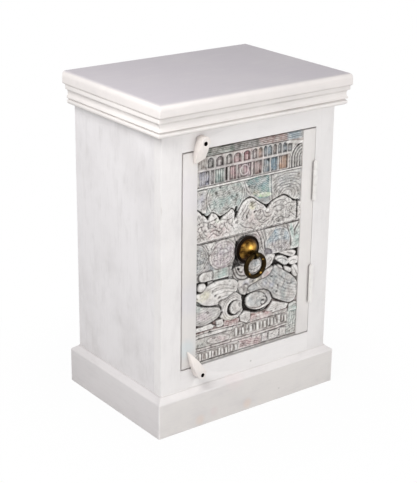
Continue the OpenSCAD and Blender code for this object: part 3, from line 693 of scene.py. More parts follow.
class Carver:
    """Holds the carved surface's height, tone and dark stain, and cuts shapes into it."""

    def __init__(self, xs, zs):
        self.x, self.z = np.meshgrid(xs, zs)
        self.height = np.zeros_like(self.x)
        self.tone = np.empty(self.x.shape + (3,))
        self.tone[:] = TONES["pale"]
        self.dark = np.zeros_like(self.x)

    # shapes: how far each place lies outside an outline, below 0 inside it

    def turned(self, x, z, turn):
        """Each place as seen from a point, along a turned axis and across it."""
        c, s = math.cos(math.radians(turn)), math.sin(math.radians(turn))
        u, v = self.x - x, self.z - z
        return u * c + v * s, v * c - u * s

    def oval(self, x, z, a, b, turn=0):
        u, v = self.turned(x, z, turn)
        k = np.sqrt((u / a) ** 2 + (v / b) ** 2)
        slope = np.sqrt((u / a ** 2) ** 2 + (v / b ** 2) ** 2) + 1e-6
        return np.maximum(k * (k - 1) / slope, -min(a, b))

    def slab(self, x0, z0, x1, z1, turn=0, corner=0.8):
        u, v = self.turned((x0 + x1) / 2, (z0 + z1) / 2, turn)
        du = np.abs(u) - (x1 - x0) / 2 + corner
        dv = np.abs(v) - (z1 - z0) / 2 + corner
        outside = np.sqrt(np.maximum(du, 0) ** 2 + np.maximum(dv, 0) ** 2)
        return outside + np.minimum(np.maximum(du, dv), 0) - corner

    def away(self, path):
        """Distance from a run of places."""
        best = np.full(self.x.shape, 99.0)
        lo, hi = path.min(0) - 12, path.max(0) + 12
        rows = np.where((self.z[:, 0] >= lo[1]) & (self.z[:, 0] <= hi[1]))[0]
        cols = np.where((self.x[0] >= lo[0]) & (self.x[0] <= hi[0]))[0]
        if not len(rows) or not len(cols):
            return best
        window = np.s_[rows[0] : rows[-1] + 1, cols[0] : cols[-1] + 1]
        x, z, near = self.x[window], self.z[window], best[window]
        for a, b in zip(path[:-1], path[1:]):
            d = b - a
            t = np.clip(((x - a[0]) * d[0] + (z - a[1]) * d[1]) / (d @ d + 1e-9), 0, 1)
            near = np.minimum(near, np.hypot(x - a[0] - t * d[0], z - a[1] - t * d[1]))
        best[window] = near
        return best

    def shape(self, points, sharp=False):
        """A closed outline through the points, smooth or with straight sides."""
        path = path_of(points) if sharp else smooth_path(points, True)
        path = np.vstack([path, path[:1]])
        inside = np.zeros(self.x.shape, bool)
        for a, b in zip(path[:-1], path[1:]):
            crosses = (a[1] > self.z) != (b[1] > self.z)
            inside ^= crosses & (
                self.x < (b[0] - a[0]) * (self.z - a[1]) / (b[1] - a[1] + 1e-9) + a[0]
            )
        return np.where(inside, -1, 1) * self.away(path)

    def line(self, points, straight=False):
        """Distance from a run through the points."""
        return self.away(path_of(points) if straight else smooth_path(points, False))

    # cuts

    def put(self, outline, level, tone=None, crown=0.0, reach=7.0, edge=1.3, rim=0.0, mix=1.0):
        """Brings everything inside an outline to one level, crowned towards its middle.

        The crown is reached that far in, the edge is how wide the outline's step is, and the rim
        is how dark its border is and how much painted shade darkens the inside towards the
        outline.
        """
        cover = soft_step(0.5 - outline / edge)
        rise = 1 - (1 - np.clip(-outline / reach, 0, 1)) ** 2
        self.height = self.height * (1 - cover) + (level + crown * rise) * cover
        self.dark *= 1 - cover
        if rim:
            self.ink(np.abs(outline - 0.6), 1.1, rim)
        if tone:
            self.tint(outline, tone, mix, edge)
        # Painted shade: the inside darkens towards the outline, so the shape looks rounded.
        if rim:
            near = np.exp(-((np.minimum(outline, 0) / 6) ** 2)) * cover
            self.tone *= (1 - 0.5 * rim * near)[..., None]

    def tint(self, outline, tone, mix, edge):
        """Colours an outline's inside, fading over the width of its edge."""
        cover = (soft_step(0.5 - outline / edge) * mix)[..., None]
        self.tone = self.tone * (1 - cover) + np.array(TONES[tone]) * cover

    def tints(self, *rows):
        for row in rows:
            self.tint(*row)

    def groove(self, distance, width, depth, ink):
        cut = np.exp(-((distance / width) ** 2))
        self.height -= depth * cut
        self.dark = np.maximum(self.dark, ink * cut)

    def cut(self, width, depth, ink, *paths, straight=False):
        """A groove along each path, one after the other."""
        for points in paths:
            self.groove(self.line(points, straight), width, depth, ink)

    def ridge(self, distance, width, height, tone="white"):
        cut = np.exp(-((distance / width) ** 2))
        self.height += height * cut
        self.tone += (np.array(TONES[tone]) - self.tone) * (0.7 * cut)[..., None]
        self.dark *= 1 - 0.8 * cut

    def ink(self, distance, width, amount):
        self.dark = np.maximum(self.dark, amount * np.exp(-((distance / width) ** 2)))

    def seep(self, outline, width, amount):
        """Ink that fills an outline and fades outside it."""
        self.ink(np.maximum(outline, 0), width, amount)

    def hatch(self, outline, turn, pitch, depth, ink, wave=0.0, length=14.0, inset=0.8):
        """Fine parallel cuts inside an outline, bent in waves of a length."""
        u, v = self.turned(0, 0, turn)
        across = v + wave * np.sin(u * 2 * math.pi / length)
        near = np.abs((across / pitch) % 1 - 0.5) * pitch
        cut = np.exp(-((near / 0.55) ** 2)) * soft_step(-(outline + inset) / 1.2)
        self.height -= depth * cut
        self.dark = np.maximum(self.dark, ink * cut)

    def hollow(self, outline, level, ink):
        """Brings an outline's inside down to a level and darkens it."""
        cover = soft_step(0.5 - outline / 1.3)
        self.height = self.height * (1 - cover) + level * cover
        self.dark = np.maximum(self.dark, ink * cover)


def carve_arcades(c):
    """A streaked lintel over two storeys of windows, and a banded arch at the right."""
    c.put(c.slab(-116, 437, 120, 506), 4.2, "stone")
    c.tints(
        (c.slab(-78, 440, -46, 486), "mauve", 0.5, 12), (c.slab(44, 466, 90, 492), "pale", 0.7, 8),
    )
    lintel = c.slab(-116, 492.5, 120, 506)
    c.put(lintel, 4.4, "slate")
    for x0, x1, tone in (
        (-116, -30, "moss"), (-34, 20, "slate"), (20, 84, "clay"), (82, 120, "haze"),
    ):
        c.tint(np.maximum(c.slab(x0, 480, x1, 520), 10 * (492 - c.z)), tone, 0.8, 9)
    c.hatch(lintel, 0.5, 3.4, 0.8, 0.62, 0.6, 60)
    c.hatch(np.maximum(lintel, c.x - 20), -0.4, 2.3, 0.4, 0.5, 0.4, 44)
    c.cut(1, 1.6, 0.55, (-116, 491.5, 0, 491.8, 84, 491), straight=True)
    upper = (
        (-91, 12, "grey"), (-73, 15, "mauve"), (-52, 13, "grey"), (-36, 16, "pink"),
        (-14, 14, "rose"), (5, 11, "grey"), (18, 9, "peach"), (30, 7, "haze"), (39, 9, "haze"),
        (51, 8, "orange"), (62, 8, "cool"), (73, 9, "haze"), (85, 9, "cool"),
    )
    for x, w, tone in upper:
        window = np.minimum(
            c.slab(x, 470.5, x + w, 486.5 - w * 0.2), c.oval(x + w / 2, 484 - w * 0.2, w / 2, 6.5),
        )
        c.tint(c.slab(x - 3, 469, x + w + 3, 490), tone, 0.5, 5)
        c.put(window, 2, tone)
        c.ridge(np.abs(window - 1.3), 0.7, 0.4, "pale")
        c.groove(np.abs(window - 0.1), 0.6, 0.7, 0.42)
        # Painted shade inside each window, along its arched top.
        c.ink(np.maximum(window + 1, 481 - c.z), 1.4, 0.4)
        if w > 10:
            c.put(c.slab(x + w * 0.32, 471.5, x + w * 0.68, 481), 3.2, tone, edge=1.6)
    lower = (
        (-108, 21, "lilac"), (-84, 6, "pale"), (-75, 20, "aqua"), (-44, 14, "pink"),
        (-27, 30, "mauve"), (12, 14, "clay"), (30, 14, "haze"), (47, 14, "blue"),
        (65, 19, "orange"),
    )
    for x, w, tone in lower:
        window = c.slab(x, 441.5, x + w, 465.5)
        c.put(window, 2.2, tone)
        c.ridge(np.abs(window - 1.1), 0.7, 0.4, "pale")
        c.groove(np.abs(window), 0.6, 0.7, 0.45)
        c.hatch(window, 90, 5, 0.9, 0.4, 0, inset=0.2)
    c.hatch(c.slab(-116, 441, 88, 466), 90, 4.3, 0.8, 0.34, 0.3, 30)
    c.hatch(c.slab(-116, 470, 88, 488), 90, 5.1, 0.7, 0.3, 0.3, 24)
    c.tint(c.slab(-72, 441, -58, 456), "teal", 0.9, 5)
    for x, z, a, b, tone, mix in (
        (-10, 466, 44, 24, "pink", 0.4), (-98, 454, 18, 14, "lilac", 0.35),
        (56, 470, 22, 18, "haze", 0.4), (78, 458, 12, 12, "orange", 0.35),
        (-60, 474, 24, 10, "moss", 0.28), (-8, 456, 34, 10, "rose", 0.16),
    ):
        c.tint(c.oval(x, z, a, b), tone, mix, 14)
    c.hollow(c.slab(-53, 442, -47.5, 466), 0.6, 0.75)
    c.hollow(c.slab(8, 442, 10.5, 465), 1, 0.45)
    c.put(np.abs(c.oval(-11, 454, 9, 9)) - 0.8, 3.8, "mauve")
    c.put(c.slab(-116, 466.6, 88, 469.8), 5.2, "mauve", mix=0.5)
    c.cut(0.7, 0.9, 0.4, (-116, 466.4, 88, 466.2), straight=True)
    arch = np.minimum(c.oval(122, 456, 33, 31), c.slab(89, 439, 120, 456))
    c.put(arch, 2.2, "grey")
    for r, w in ((31, 2.2), (24.5, 1.6), (18.5, 1.5), (12.5, 1.4), (7, 1.4)):
        ring = np.abs(np.minimum(
            c.oval(122, 456, r, r * 0.96), c.slab(122 - r, 420, 140, 456),
        )) - w / 2
        c.put(np.maximum(ring, 439.5 - c.z), 4.8, "white", edge=1)
    c.hatch(arch, 68, 5.4, 0.5, 0.3)
    c.put(c.shape((78, 487, 100, 483, 120, 480, 120, 485, 100, 489, 80, 491), True), 5.2, "white")
    c.put(c.slab(-116, 435.6, 120, 438.8, 0.2), 5.4, "white")
    c.cut(0.8, 1.4, 0.7, (-116, 439.6, 120, 439.4), straight=True)
    c.cut(0.8, 1, 0.45, (-116, 434.8, 120, 434.8), straight=True)


def carve_waves(c):
    """Rolling rings and wave lines over the scalloped edge of the clouds."""
    edge = smooth_path((
        -118, 403, -110, 400, -99, 392, -90, 386, -81, 391, -73, 388, -63, 381, -53, 383, -45, 387,
        -38, 391, -32, 386, -27, 381, -20, 390, -12, 399, 0, 403, 9, 401, 20, 393, 32, 385,
        42, 382, 52, 387, 64, 391, 77, 393, 86, 391, 98, 383, 110, 377, 120, 376,
    ), False)
    floor = np.interp(c.x[0], edge[:, 0], edge[:, 1])[None, :]
    gap = np.full_like(floor, 1.9)
    for x, wide in ((-102, 3), (-89, 5.5), (-63, 6), (-28, 8), (41, 6.5), (88, 2), (101, 3)):
        gap += wide * np.exp(-(((c.x[:1] - x) / 5) ** 2))
    above = np.maximum(floor - c.z, c.z - 434.5)
    c.put(c.slab(-116, 366, 120, 404), 0.4, "grey")
    c.seep(c.slab(-116, 368, 120, 402), 1.5, 1)
    c.put(above, 3, "cool")
    c.tint(c.slab(-116, 380, -20, 436), "aqua", 0.4, 14)
    c.put(np.maximum(c.oval(-52, 414, 43, 40), above), 3.4, "aqua", crown=0.8, reach=16, mix=0.6)
    c.tints(
        (c.oval(-42, 404, 20, 12), "teal", 0.5, 14), (c.oval(-78, 424, 14, 10), "moss", 0.35, 12),
        (c.oval(-88, 416, 8, 12), "clay", 0.4, 9),
    )
    for r in (43, 38.5):
        c.ridge(np.abs(np.maximum(c.oval(-52, 414, r, r * 0.93), above)), 0.9, 0.9)
        c.groove(np.abs(np.maximum(
            c.oval(-52, 414, r - 1.8, (r - 1.8) * 0.93), above,
        )), 0.6, 0.6, 0.3)
    disc = np.maximum(c.oval(-52, 414, 35, 32), above + 2)
    c.hatch(disc, 12, 4.2, 0.45, 0.22, 1.4, 26)
    c.hatch(disc, 100, 11, 0.35, 0.2, 1.2, 18)
    c.put(np.maximum(c.slab(-116, 392, -93, 433), above), 4.2, "grey")
    c.tint(c.slab(-112, 402, -96, 428), "lilac", 0.4, 9)
    patch = c.shape((-9, 434, 44, 434, 47, 399, 22, 396, 10, 405, 0, 420))
    c.put(patch, 3.2, "teal")
    c.tint(c.oval(22, 424, 24, 8), "blue", 0.45, 10)
    c.hatch(patch, -24, 3.3, 0.8, 0.42, 0.9, 17)
    c.put(c.oval(34, 401, 17, 4.2, -6), 3.7, "lime")
    c.tint(c.oval(16, 408, 8, 4), "cream", 0.7, 5)
    c.ridge(c.line((-11, 434, -3, 419, 7, 404, 18, 396)), 1.2, 1)
    c.ridge(c.line((-16, 434, -9, 418, 0, 407, 8, 402)), 1, 0.9)
    c.ridge(np.maximum(c.line((45.5, 434, 47, 400, 50, 388)), above), 1.1, 0.9)
    c.groove(np.maximum(c.line((49, 434, 50.5, 402, 54, 390)), above), 0.8, 0.8, 0.4)
    right = np.maximum(c.slab(52, 380, 116, 434), above)
    c.put(right, 3.3, "grey")
    c.tint(c.oval(84, 420, 22, 10), "cool", 0.6, 12)
    for r in range(12, 56, 7):
        c.groove(np.maximum(np.abs(c.oval(86, 392, r, r * 0.72)), right + 1), 0.7, 0.7, 0.3)
    c.hatch(np.maximum(right, 400 - c.z), 2, 4.6, 0.45, 0.25, 0.8, 30)
    c.ridge(c.line((58, 384, 70, 390, 86, 389, 104, 380)), 0.9, 0.6)
    return floor, gap


def carve_clouds(c, floor, gap):
    """Lobed clouds with curling lines and small leaves."""
    lobes = np.maximum(np.maximum(c.z - (floor - gap), 338 - c.z), c.x - 108.5)
    c.put(lobes, 4.7, "white", crown=0.7, reach=5, edge=1.6)
    c.hollow(c.slab(109.2, 345, 112.2, 379), 0.4, 1)
    c.put(c.slab(112.6, 338, 120, 374), 4.6, "pale")
    c.hollow(c.shape((-30, 390, -25, 390, -27, 374, -31, 368, -33, 372)), 0.3, 1)
    c.tints(
        (c.slab(-116, 338, -40, 372), "clay", 0.3, 20),
        (c.slab(-12, 340, 50, 380), "clay", 0.28, 20),
        (c.slab(52, 338, 108, 376), "grey", 0.4, 16), (c.oval(-72, 353, 20, 11), "pink", 0.45, 12),
        (c.oval(-66, 374, 9, 5), "lime", 0.4, 6), (c.oval(7, 388, 9, 9), "cream", 0.75, 6),
        (c.oval(8, 352, 16, 12), "pink", 0.3, 12), (c.oval(-12, 352, 26, 9), "grey", 0.5, 14),
        (c.oval(24, 362, 14, 8), "grey", 0.4, 9), (c.oval(-100, 352, 12, 12), "moss", 0.22, 12),
    )
    c.cut(
        0.8, 1.1, 0.42, (-113, 374, -100, 377, -90, 374, -76, 377), (-90, 384, -90, 366),
        (-88, 378, -84, 370, -74, 372, -72, 380), (-90, 362, -80, 366, -72, 362),
        (-88, 346, -78, 352, -68, 346, -60, 350), (-84, 356, -74, 358, -64, 352),
        (-70, 371, -60, 375, -48, 371, -38, 374), (-56, 368, -52, 358, -44, 352),
        (-48, 371, -43, 362, -36, 358), (-36, 371, -38, 362, -34, 352),
        (-24, 373, -16, 380, -8, 390), (-18, 368, -9, 378, -3, 389), (-10, 362, -4, 372, 0, 380),
        (-20, 358, -10, 350, 4, 346, 14, 340), (14, 392, 20, 386, 28, 383),
        (13, 380, 17, 374, 24, 376, 25, 368), (14, 368, 18, 360, 26, 358, 31, 364),
        (31, 372, 35, 362, 44, 359, 50, 362), (35, 372, 40, 366, 47, 367),
        (22, 354, 32, 350, 44, 354), (52, 374, 64, 376, 78, 373, 92, 376, 106, 373),
        (84, 371, 83, 362), (54, 381, 66, 385, 80, 384), (58, 368, 70, 366, 80, 369),
        (92, 360, 99, 354, 105, 349), (60, 350, 72, 354, 82, 349),
        (-110, 362, -104, 350, -98, 346), (-104, 368, -98, 356, -92, 350),
    )
    for x, z, r in (
        (-82, 366, 4.2), (-61, 362, 4.6), (20, 369, 4), (41, 371, 4.6), (-6, 366, 3.6),
        (73, 379, 3.4), (94, 366, 4.2),
    ):
        c.put(c.oval(x, z, r, r * 0.8, 20), 5.2, crown=0.6, reach=3)
        c.groove(np.abs(c.oval(x, z, r, r * 0.8, 20)), 0.6, 0.8, 0.4)
    c.put(c.oval(-5, 368, 1.8, 4), 2, "slate")
    c.hollow(c.oval(12, 374, 3, 1.6, 30), 1.4, 0.85)
    c.hollow(c.oval(-89, 368, 1.3, 5), 1.6, 0.7)
    c.hollow(c.oval(-74, 377, 2.6, 1.4, 20), 1.6, 0.7)
    c.put(c.slab(-116, 337, 120, 340.6, 0.2), 3.4, "pale")
    c.cut(0.7, 0.8, 0.3, (-116, 336.8, -22, 336.6), straight=True)


def carve_medallions(c):
    """Oval medallions with petals between them."""
    c.put(c.slab(-116, 283, 120, 336.4), 3, "pale")
    c.tints(
        (c.oval(-83, 294, 10, 12), "dusk", 0.6, 9), (c.slab(-86, 284, -74, 300), "haze", 0.6, 6),
    )
    for x, z, a, b, tone in (
        (-121, 311, 33, 28, "cool"), (-56, 309, 29, 27, "mauve"), (68, 307, 29, 27, "haze"),
        (128, 306, 22, 29, "aqua"),
    ):
        c.put(c.oval(x, z, a, b), 3.6, tone, crown=1.3, reach=12, rim=0.4)
        c.ridge(np.abs(c.oval(x, z, a - 1.4, b - 1.4)), 0.8, 0.4, "pale")
        c.groove(np.abs(c.oval(x, z, a - 4, b - 4)), 0.6, 0.4, 0.16)
        heart = c.oval(x, z, a - 6, b - 6)
        c.hatch(heart, 90, 7.2, 0.5, 0.26, 0.6, 16)
        c.hatch(heart, 0, 8.5, 0.5, 0.26, 0.6, 19)
        c.groove(np.abs(c.oval(x, z, a * 0.42, b * 0.42)), 0.7, 0.7, 0.3)
        for k in range(8):
            t = math.radians(45 * k + 20)
            c.groove(np.abs(c.oval(
                x + a * 0.6 * math.cos(t), z + b * 0.6 * math.sin(t), 3.4, 2.6,
            )), 0.6, 0.5, 0.28)
    for points in (
        (-100, 336, -71, 336, -84, 313), (37, 336, 63, 336, 43, 314),
        (90, 336, 116, 336, 104, 321),
    ):
        c.put(c.shape(points, True), 4.8, "white", rim=0.4)
    c.tints(
        (c.oval(68, 296, 26, 13), "pink", 0.5, 9), (c.oval(68, 296, 24, 12), "grey", 0.55, 9),
        (c.oval(-56, 318, 20, 10), "lilac", 0.35, 12),
    )
    c.cut(
        0.9, 1.2, 0.5, (28, 337, 36, 320, 40, 298), (20, 337, 30, 318, 34, 300),
        (88, 336, 95, 318, 100, 296, 100, 284), (-96, 336, -88, 324, -84, 311),
        (-72, 337, -80, 326, -84, 312), (104, 330, 101, 314, 104, 300),
        (-30, 336, -26, 322, -25, 300, -30, 288),
    )
    c.cut(
        0.7, 0.8, 0.35, (10, 334, 22, 326, 30, 312), (24, 300, 32, 304, 37, 296),
        (18, 337, 28, 326, 33, 310),
    )
    c.tint(c.oval(20, 328, 10, 10, -40), "pink", 0.35, 8)
    # Painted shadow: a soft lavender patch, set lower than the ground around it.
    c.put(c.oval(47, 291, 10, 7, -30), 2.4, "dusk", edge=3)
    c.put(c.shape((
        97, 336, 105, 320, 108, 304, 118, 300, 118, 272, 103, 272, 99, 286, 102, 302, 95, 320,
    )), 4, "aqua")
    # Painted shadow of the rose: a dark hollow just left of it.
    c.hollow(c.shape((
        -28, 322, -23, 326, -24, 300, -20, 286, -27, 282, -33, 286, -28, 298,
    )), 1.4, 0.9)


def carve_foliage(c):
    """Tabs and a ball above large leaves that roll into two snails."""
    c.put(c.slab(-116, 176, 120, 283), 2.2, "grey")
    c.put(c.slab(-118, 246, -86, 267), 0.5, "slate")
    c.seep(c.slab(-118, 248, -87, 266), 1.2, 0.9)
    c.put(np.minimum(
        c.oval(-95, 275, 12, 9), c.slab(-95, 266.5, -77, 283.5),
    ), 4.8, "white", crown=0.6, rim=0.6)
    c.cut(0.8, 1.2, 0.4, (-79, 283, -79, 267), straight=True)
    c.put(c.slab(-76, 265, -42, 283.5), 4.4, "aqua", rim=0.4)
    c.hatch(c.slab(-74, 266, -44, 282), 4, 5, 0.4, 0.2, 0.5, 22)
    c.put(c.slab(-41, 260, -33, 283), 3.8, "cool", rim=0.4)
    c.cut(1, 1.4, 0.55, (-84, 265, -62, 264, -46, 263, -30, 262))
    c.put(c.oval(-101, 257, 9.5, 8.5), 4, "white", crown=1.8, reach=8, rim=0.9)
    c.ink(np.abs(c.oval(-100, 256, 11.5, 10.5)), 1.8, 0.95)
    # the scroll left of the ring
    c.put(c.oval(-12, 267, 22, 17, -18), 3.4, "pale", crown=0.8, rim=0.6)
    c.cut(
        1.2, 1.6, 0.72, (-34, 282, -30, 268, -22, 256, -8, 251, 4, 254),
        (-28, 280, -24, 268, -16, 260, -6, 258), (-22, 276, -18, 268, -12, 266),
        (-20, 284, -12, 278, -2, 276),
    )
    c.hollow(c.oval(-20, 273, 3, 2.2, -30), 1, 0.9)
    c.tint(c.oval(-8, 265, 9, 7), "mauve", 0.6, 7)
    # right side, above the large leaf
    c.put(c.slab(54, 236, 120, 285), 0.3, "slate")
    c.seep(c.slab(55, 238, 120, 284), 1.5, 1)
    for points, tone in (
        ((40, 285, 62, 284, 60, 276, 56, 268, 48, 262, 38, 262), "pale"),
        ((62, 276, 74, 279, 90, 272, 96, 262, 88, 257, 76, 264), "cool"),
        ((72, 285, 100, 284, 112, 278, 104, 270, 92, 274, 80, 280), "pale"),
        ((94, 268, 106, 271, 117, 268, 116, 256, 104, 254, 95, 260), "white"),
        ((70, 262, 78, 258, 82, 252, 78, 246, 68, 252, 64, 258), "white"),
        ((86, 255, 95, 252, 104, 246, 98, 240, 88, 246), "grey"),
    ):
        c.put(c.shape(points), 3.8, tone, crown=1, reach=4)
    c.cut(
        0.8, 0.9, 0.4, (66, 272, 78, 273, 90, 266), (78, 282, 92, 280, 104, 276),
        (98, 262, 106, 264, 113, 261),
    )
    c.put(c.oval(111, 242, 8, 13, 18), 4.2, "white", crown=1.2, reach=5, rim=0.6)
    c.cut(0.8, 1, 0.4, (106, 250, 111, 242, 116, 232))
    # leaves at the left
    leaf = c.shape((
        -118, 247, -102, 247, -90, 256, -70, 261, -45, 260, -28, 256, -20, 245, -25, 233, -40, 224,
        -58, 218, -76, 218, -96, 223, -110, 233, -118, 236,
    ))
    c.put(leaf, 4.4, "white", crown=1.3, reach=10, rim=0.55)
    c.tints(
        (c.oval(-98, 240, 14, 8, 20), "cream", 0.8, 10),
        (c.oval(-45, 250, 16, 6), "grey", 0.4, 10),
    )
    for k, (x, z) in enumerate(((-88, 250), (-80, 243), (-72, 236), (-66, 229), (-60, 223))):
        c.cut(0.8, 0.7, 0.3, ((x, z), (x + 26, z + 4 - k), (x + 50, z - 2 - 2 * k)))
    low = c.shape((
        -118, 229, -108, 224, -92, 218, -74, 214, -62, 210, -57, 200, -64, 192, -80, 186, -98, 184,
        -110, 187, -118, 192,
    ))
    c.put(low, 4.2, "grey", crown=1.2, reach=10, rim=0.7)
    c.tints((c.oval(-95, 202, 18, 9), "mauve", 0.6, 10), (c.oval(-108, 222, 9, 8), "aqua", 0.5, 8))
    c.hatch(low, 12, 4.6, 0.35, 0.18, 0.7, 30)
    # first snail
    stem = c.shape((
        -64, 222, -46, 226, -28, 232, -16, 224, -8, 216, -7, 200, -12, 188, -24, 180, -38, 179,
        -52, 184, -60, 194, -56, 208,
    ))
    c.put(stem, 4, "pale", crown=1.1, reach=8, rim=0.8)
    c.tint(c.oval(-44, 186, 14, 7, -20), "cream", 0.35, 9)
    for r in (25, 21):
        c.groove(np.maximum(np.abs(c.oval(-29, 203, r, r * 0.94)), c.x + 22), 0.7, 0.7, 0.3)
    c.hatch(np.maximum(stem, 214 - c.z), -38, 3.6, 0.5, 0.3, 0.4, 12)
    c.hollow(c.oval(-29, 202, 15.5, 15), 0.8, 0.9)
    c.put(c.oval(-24, 202, 13, 13.5), 4, "pale", crown=1.4, reach=10, rim=0.5)
    c.cut(0.8, 0.8, 0.35, (-34, 206, -31, 200, -33, 196))
    c.cut(0.9, 1.2, 0.7, (-24, 190, -18, 192, -13, 190))
    c.hollow(c.shape((
        -12, 222, -2, 218, -5, 206, 2, 194, 14, 184, 6, 182, -6, 190, -10, 202,
    )), 0.3, 1)
    # second snail
    c.put(c.oval(23, 203.5, 34, 22.5, -6), 0.8, "slate")
    c.seep(c.oval(22, 203.5, 33, 21.5, -6), 1.5, 1)
    c.put(c.oval(28, 204.5, 31, 19, -8), 4, "grey", crown=1, reach=8, rim=0.9)
    c.tint(c.oval(24, 189, 26, 6), "clay", 0.45, 7)
    c.groove(np.abs(c.oval(20, 206, 25, 15.5, -12)), 1, 1.3, 0.6)
    c.put(c.oval(19, 206.5, 22, 13.5, -12), 4.6, "cool", crown=1, reach=7)
    c.tints(
        (c.oval(20, 210, 16, 6), "white", 0.6, 8), (c.oval(48, 206, 10, 12, -20), "dusk", 0.5, 9),
        (c.oval(8, 212, 9, 6), "haze", 0.5, 8),
    )
    spiral = [
        (37 + (2 + 0.026 * a) * math.cos(math.radians(a + 60)),
         199 + (1.6 + 0.021 * a) * math.sin(math.radians(a + 60)))
        for a in range(0, 400, 30)
    ]
    c.cut(1, 1.5, 0.75, spiral)
    c.cut(0.8, 0.9, 0.4, (-2, 192, 14, 186, 34, 185, 50, 190))
    # middle ground and the large leaf
    middle = c.shape((
        -20, 250, -4, 250, 14, 252, 40, 258, 58, 262, 62, 250, 52, 243, 30, 238, 6, 232, -4, 222,
        -14, 226, -20, 238,
    ))
    c.put(middle, 3.4, "pale", crown=0.6)
    c.put(c.oval(16, 272, 15, 13), 3.8, "white", crown=0.8, rim=0.6)
    c.cut(0.8, 1, 0.6, (4, 268, 16, 266, 28, 270))
    c.cut(0.7, 0.8, 0.4, (15, 283, 17, 272, 14, 262))
    c.tints(
        (c.oval(18, 276, 8, 5), "haze", 0.6, 5), (c.oval(-2, 243, 8, 7), "lilac", 0.6, 7),
        (c.oval(20, 245, 14, 5), "cream", 0.5, 7),
    )
    c.put(c.oval(46, 251, 15, 8.5, 22), 4.4, "pink", crown=1, reach=5, rim=0.6, mix=0.7)
    for x, z, a, b, turn in (
        (-3, 238, 4, 2.6, -30), (3, 227, 2.6, 4, 20), (-12, 232, 3.4, 5, 30),
        (12, 246, 5, 2.4, 10),
    ):
        c.put(c.oval(x, z, a + 1.5, b + 1.5, turn), 4.2, "pale", crown=0.5, rim=0.5)
        c.groove(np.abs(c.oval(x, z, a, b, turn)), 0.6, 0.7, 0.4)
    c.cut(0.9, 1.3, 0.65, (36, 239, 46, 240, 57, 246))
    big = c.shape((
        2, 233, 22, 240, 48, 247, 62, 262, 72, 256, 86, 247, 99, 238, 111, 227, 119, 213, 119, 197,
        111, 184, 100, 181, 87, 186, 72, 194, 60, 201, 54, 213, 40, 222, 22, 224, 8, 223,
    ))
    c.put(big, 4.3, "cool", crown=1.4, reach=12, rim=0.85)
    c.tints(
        (c.oval(46, 230, 16, 6, -20), "lilac", 0.6, 8),
        (c.oval(104, 200, 14, 14), "pale", 0.8, 12),
        (c.oval(76, 206, 16, 7, -30), "moss", 0.22, 12),
    )
    u, v = c.turned(60, 228, -38)
    for k, bend in enumerate((-26, -20, -14.5, -9, -3.5, 2, 7.5, 13, 18)):
        near = np.abs(v - bend - 0.004 * (u - 4) ** 2)
        c.groove(np.where(big < -3, near, 9), 0.7, 0.4, 0.2)
    c.cut(0.7, 0.7, 0.35, (78, 238, 86, 228, 82, 218, 90, 210))
    for points, width in (
        ((54, 211, 60, 200, 72, 191, 87, 184, 100, 179.5, 111, 182, 118, 194, 120, 210), 1.9),
        ((-118, 185, -98, 182, -80, 184.5, -63, 191, -56, 200), 2),
        ((-2, 190, 10, 182, 28, 179, 46, 182, 58, 196), 1.7),
        ((-54, 182, -38, 177.5, -22, 178, -10, 187), 1.5),
    ):
        c.ink(c.line(points), width, 0.97)
        c.cut(width, 1.6, 0, points)


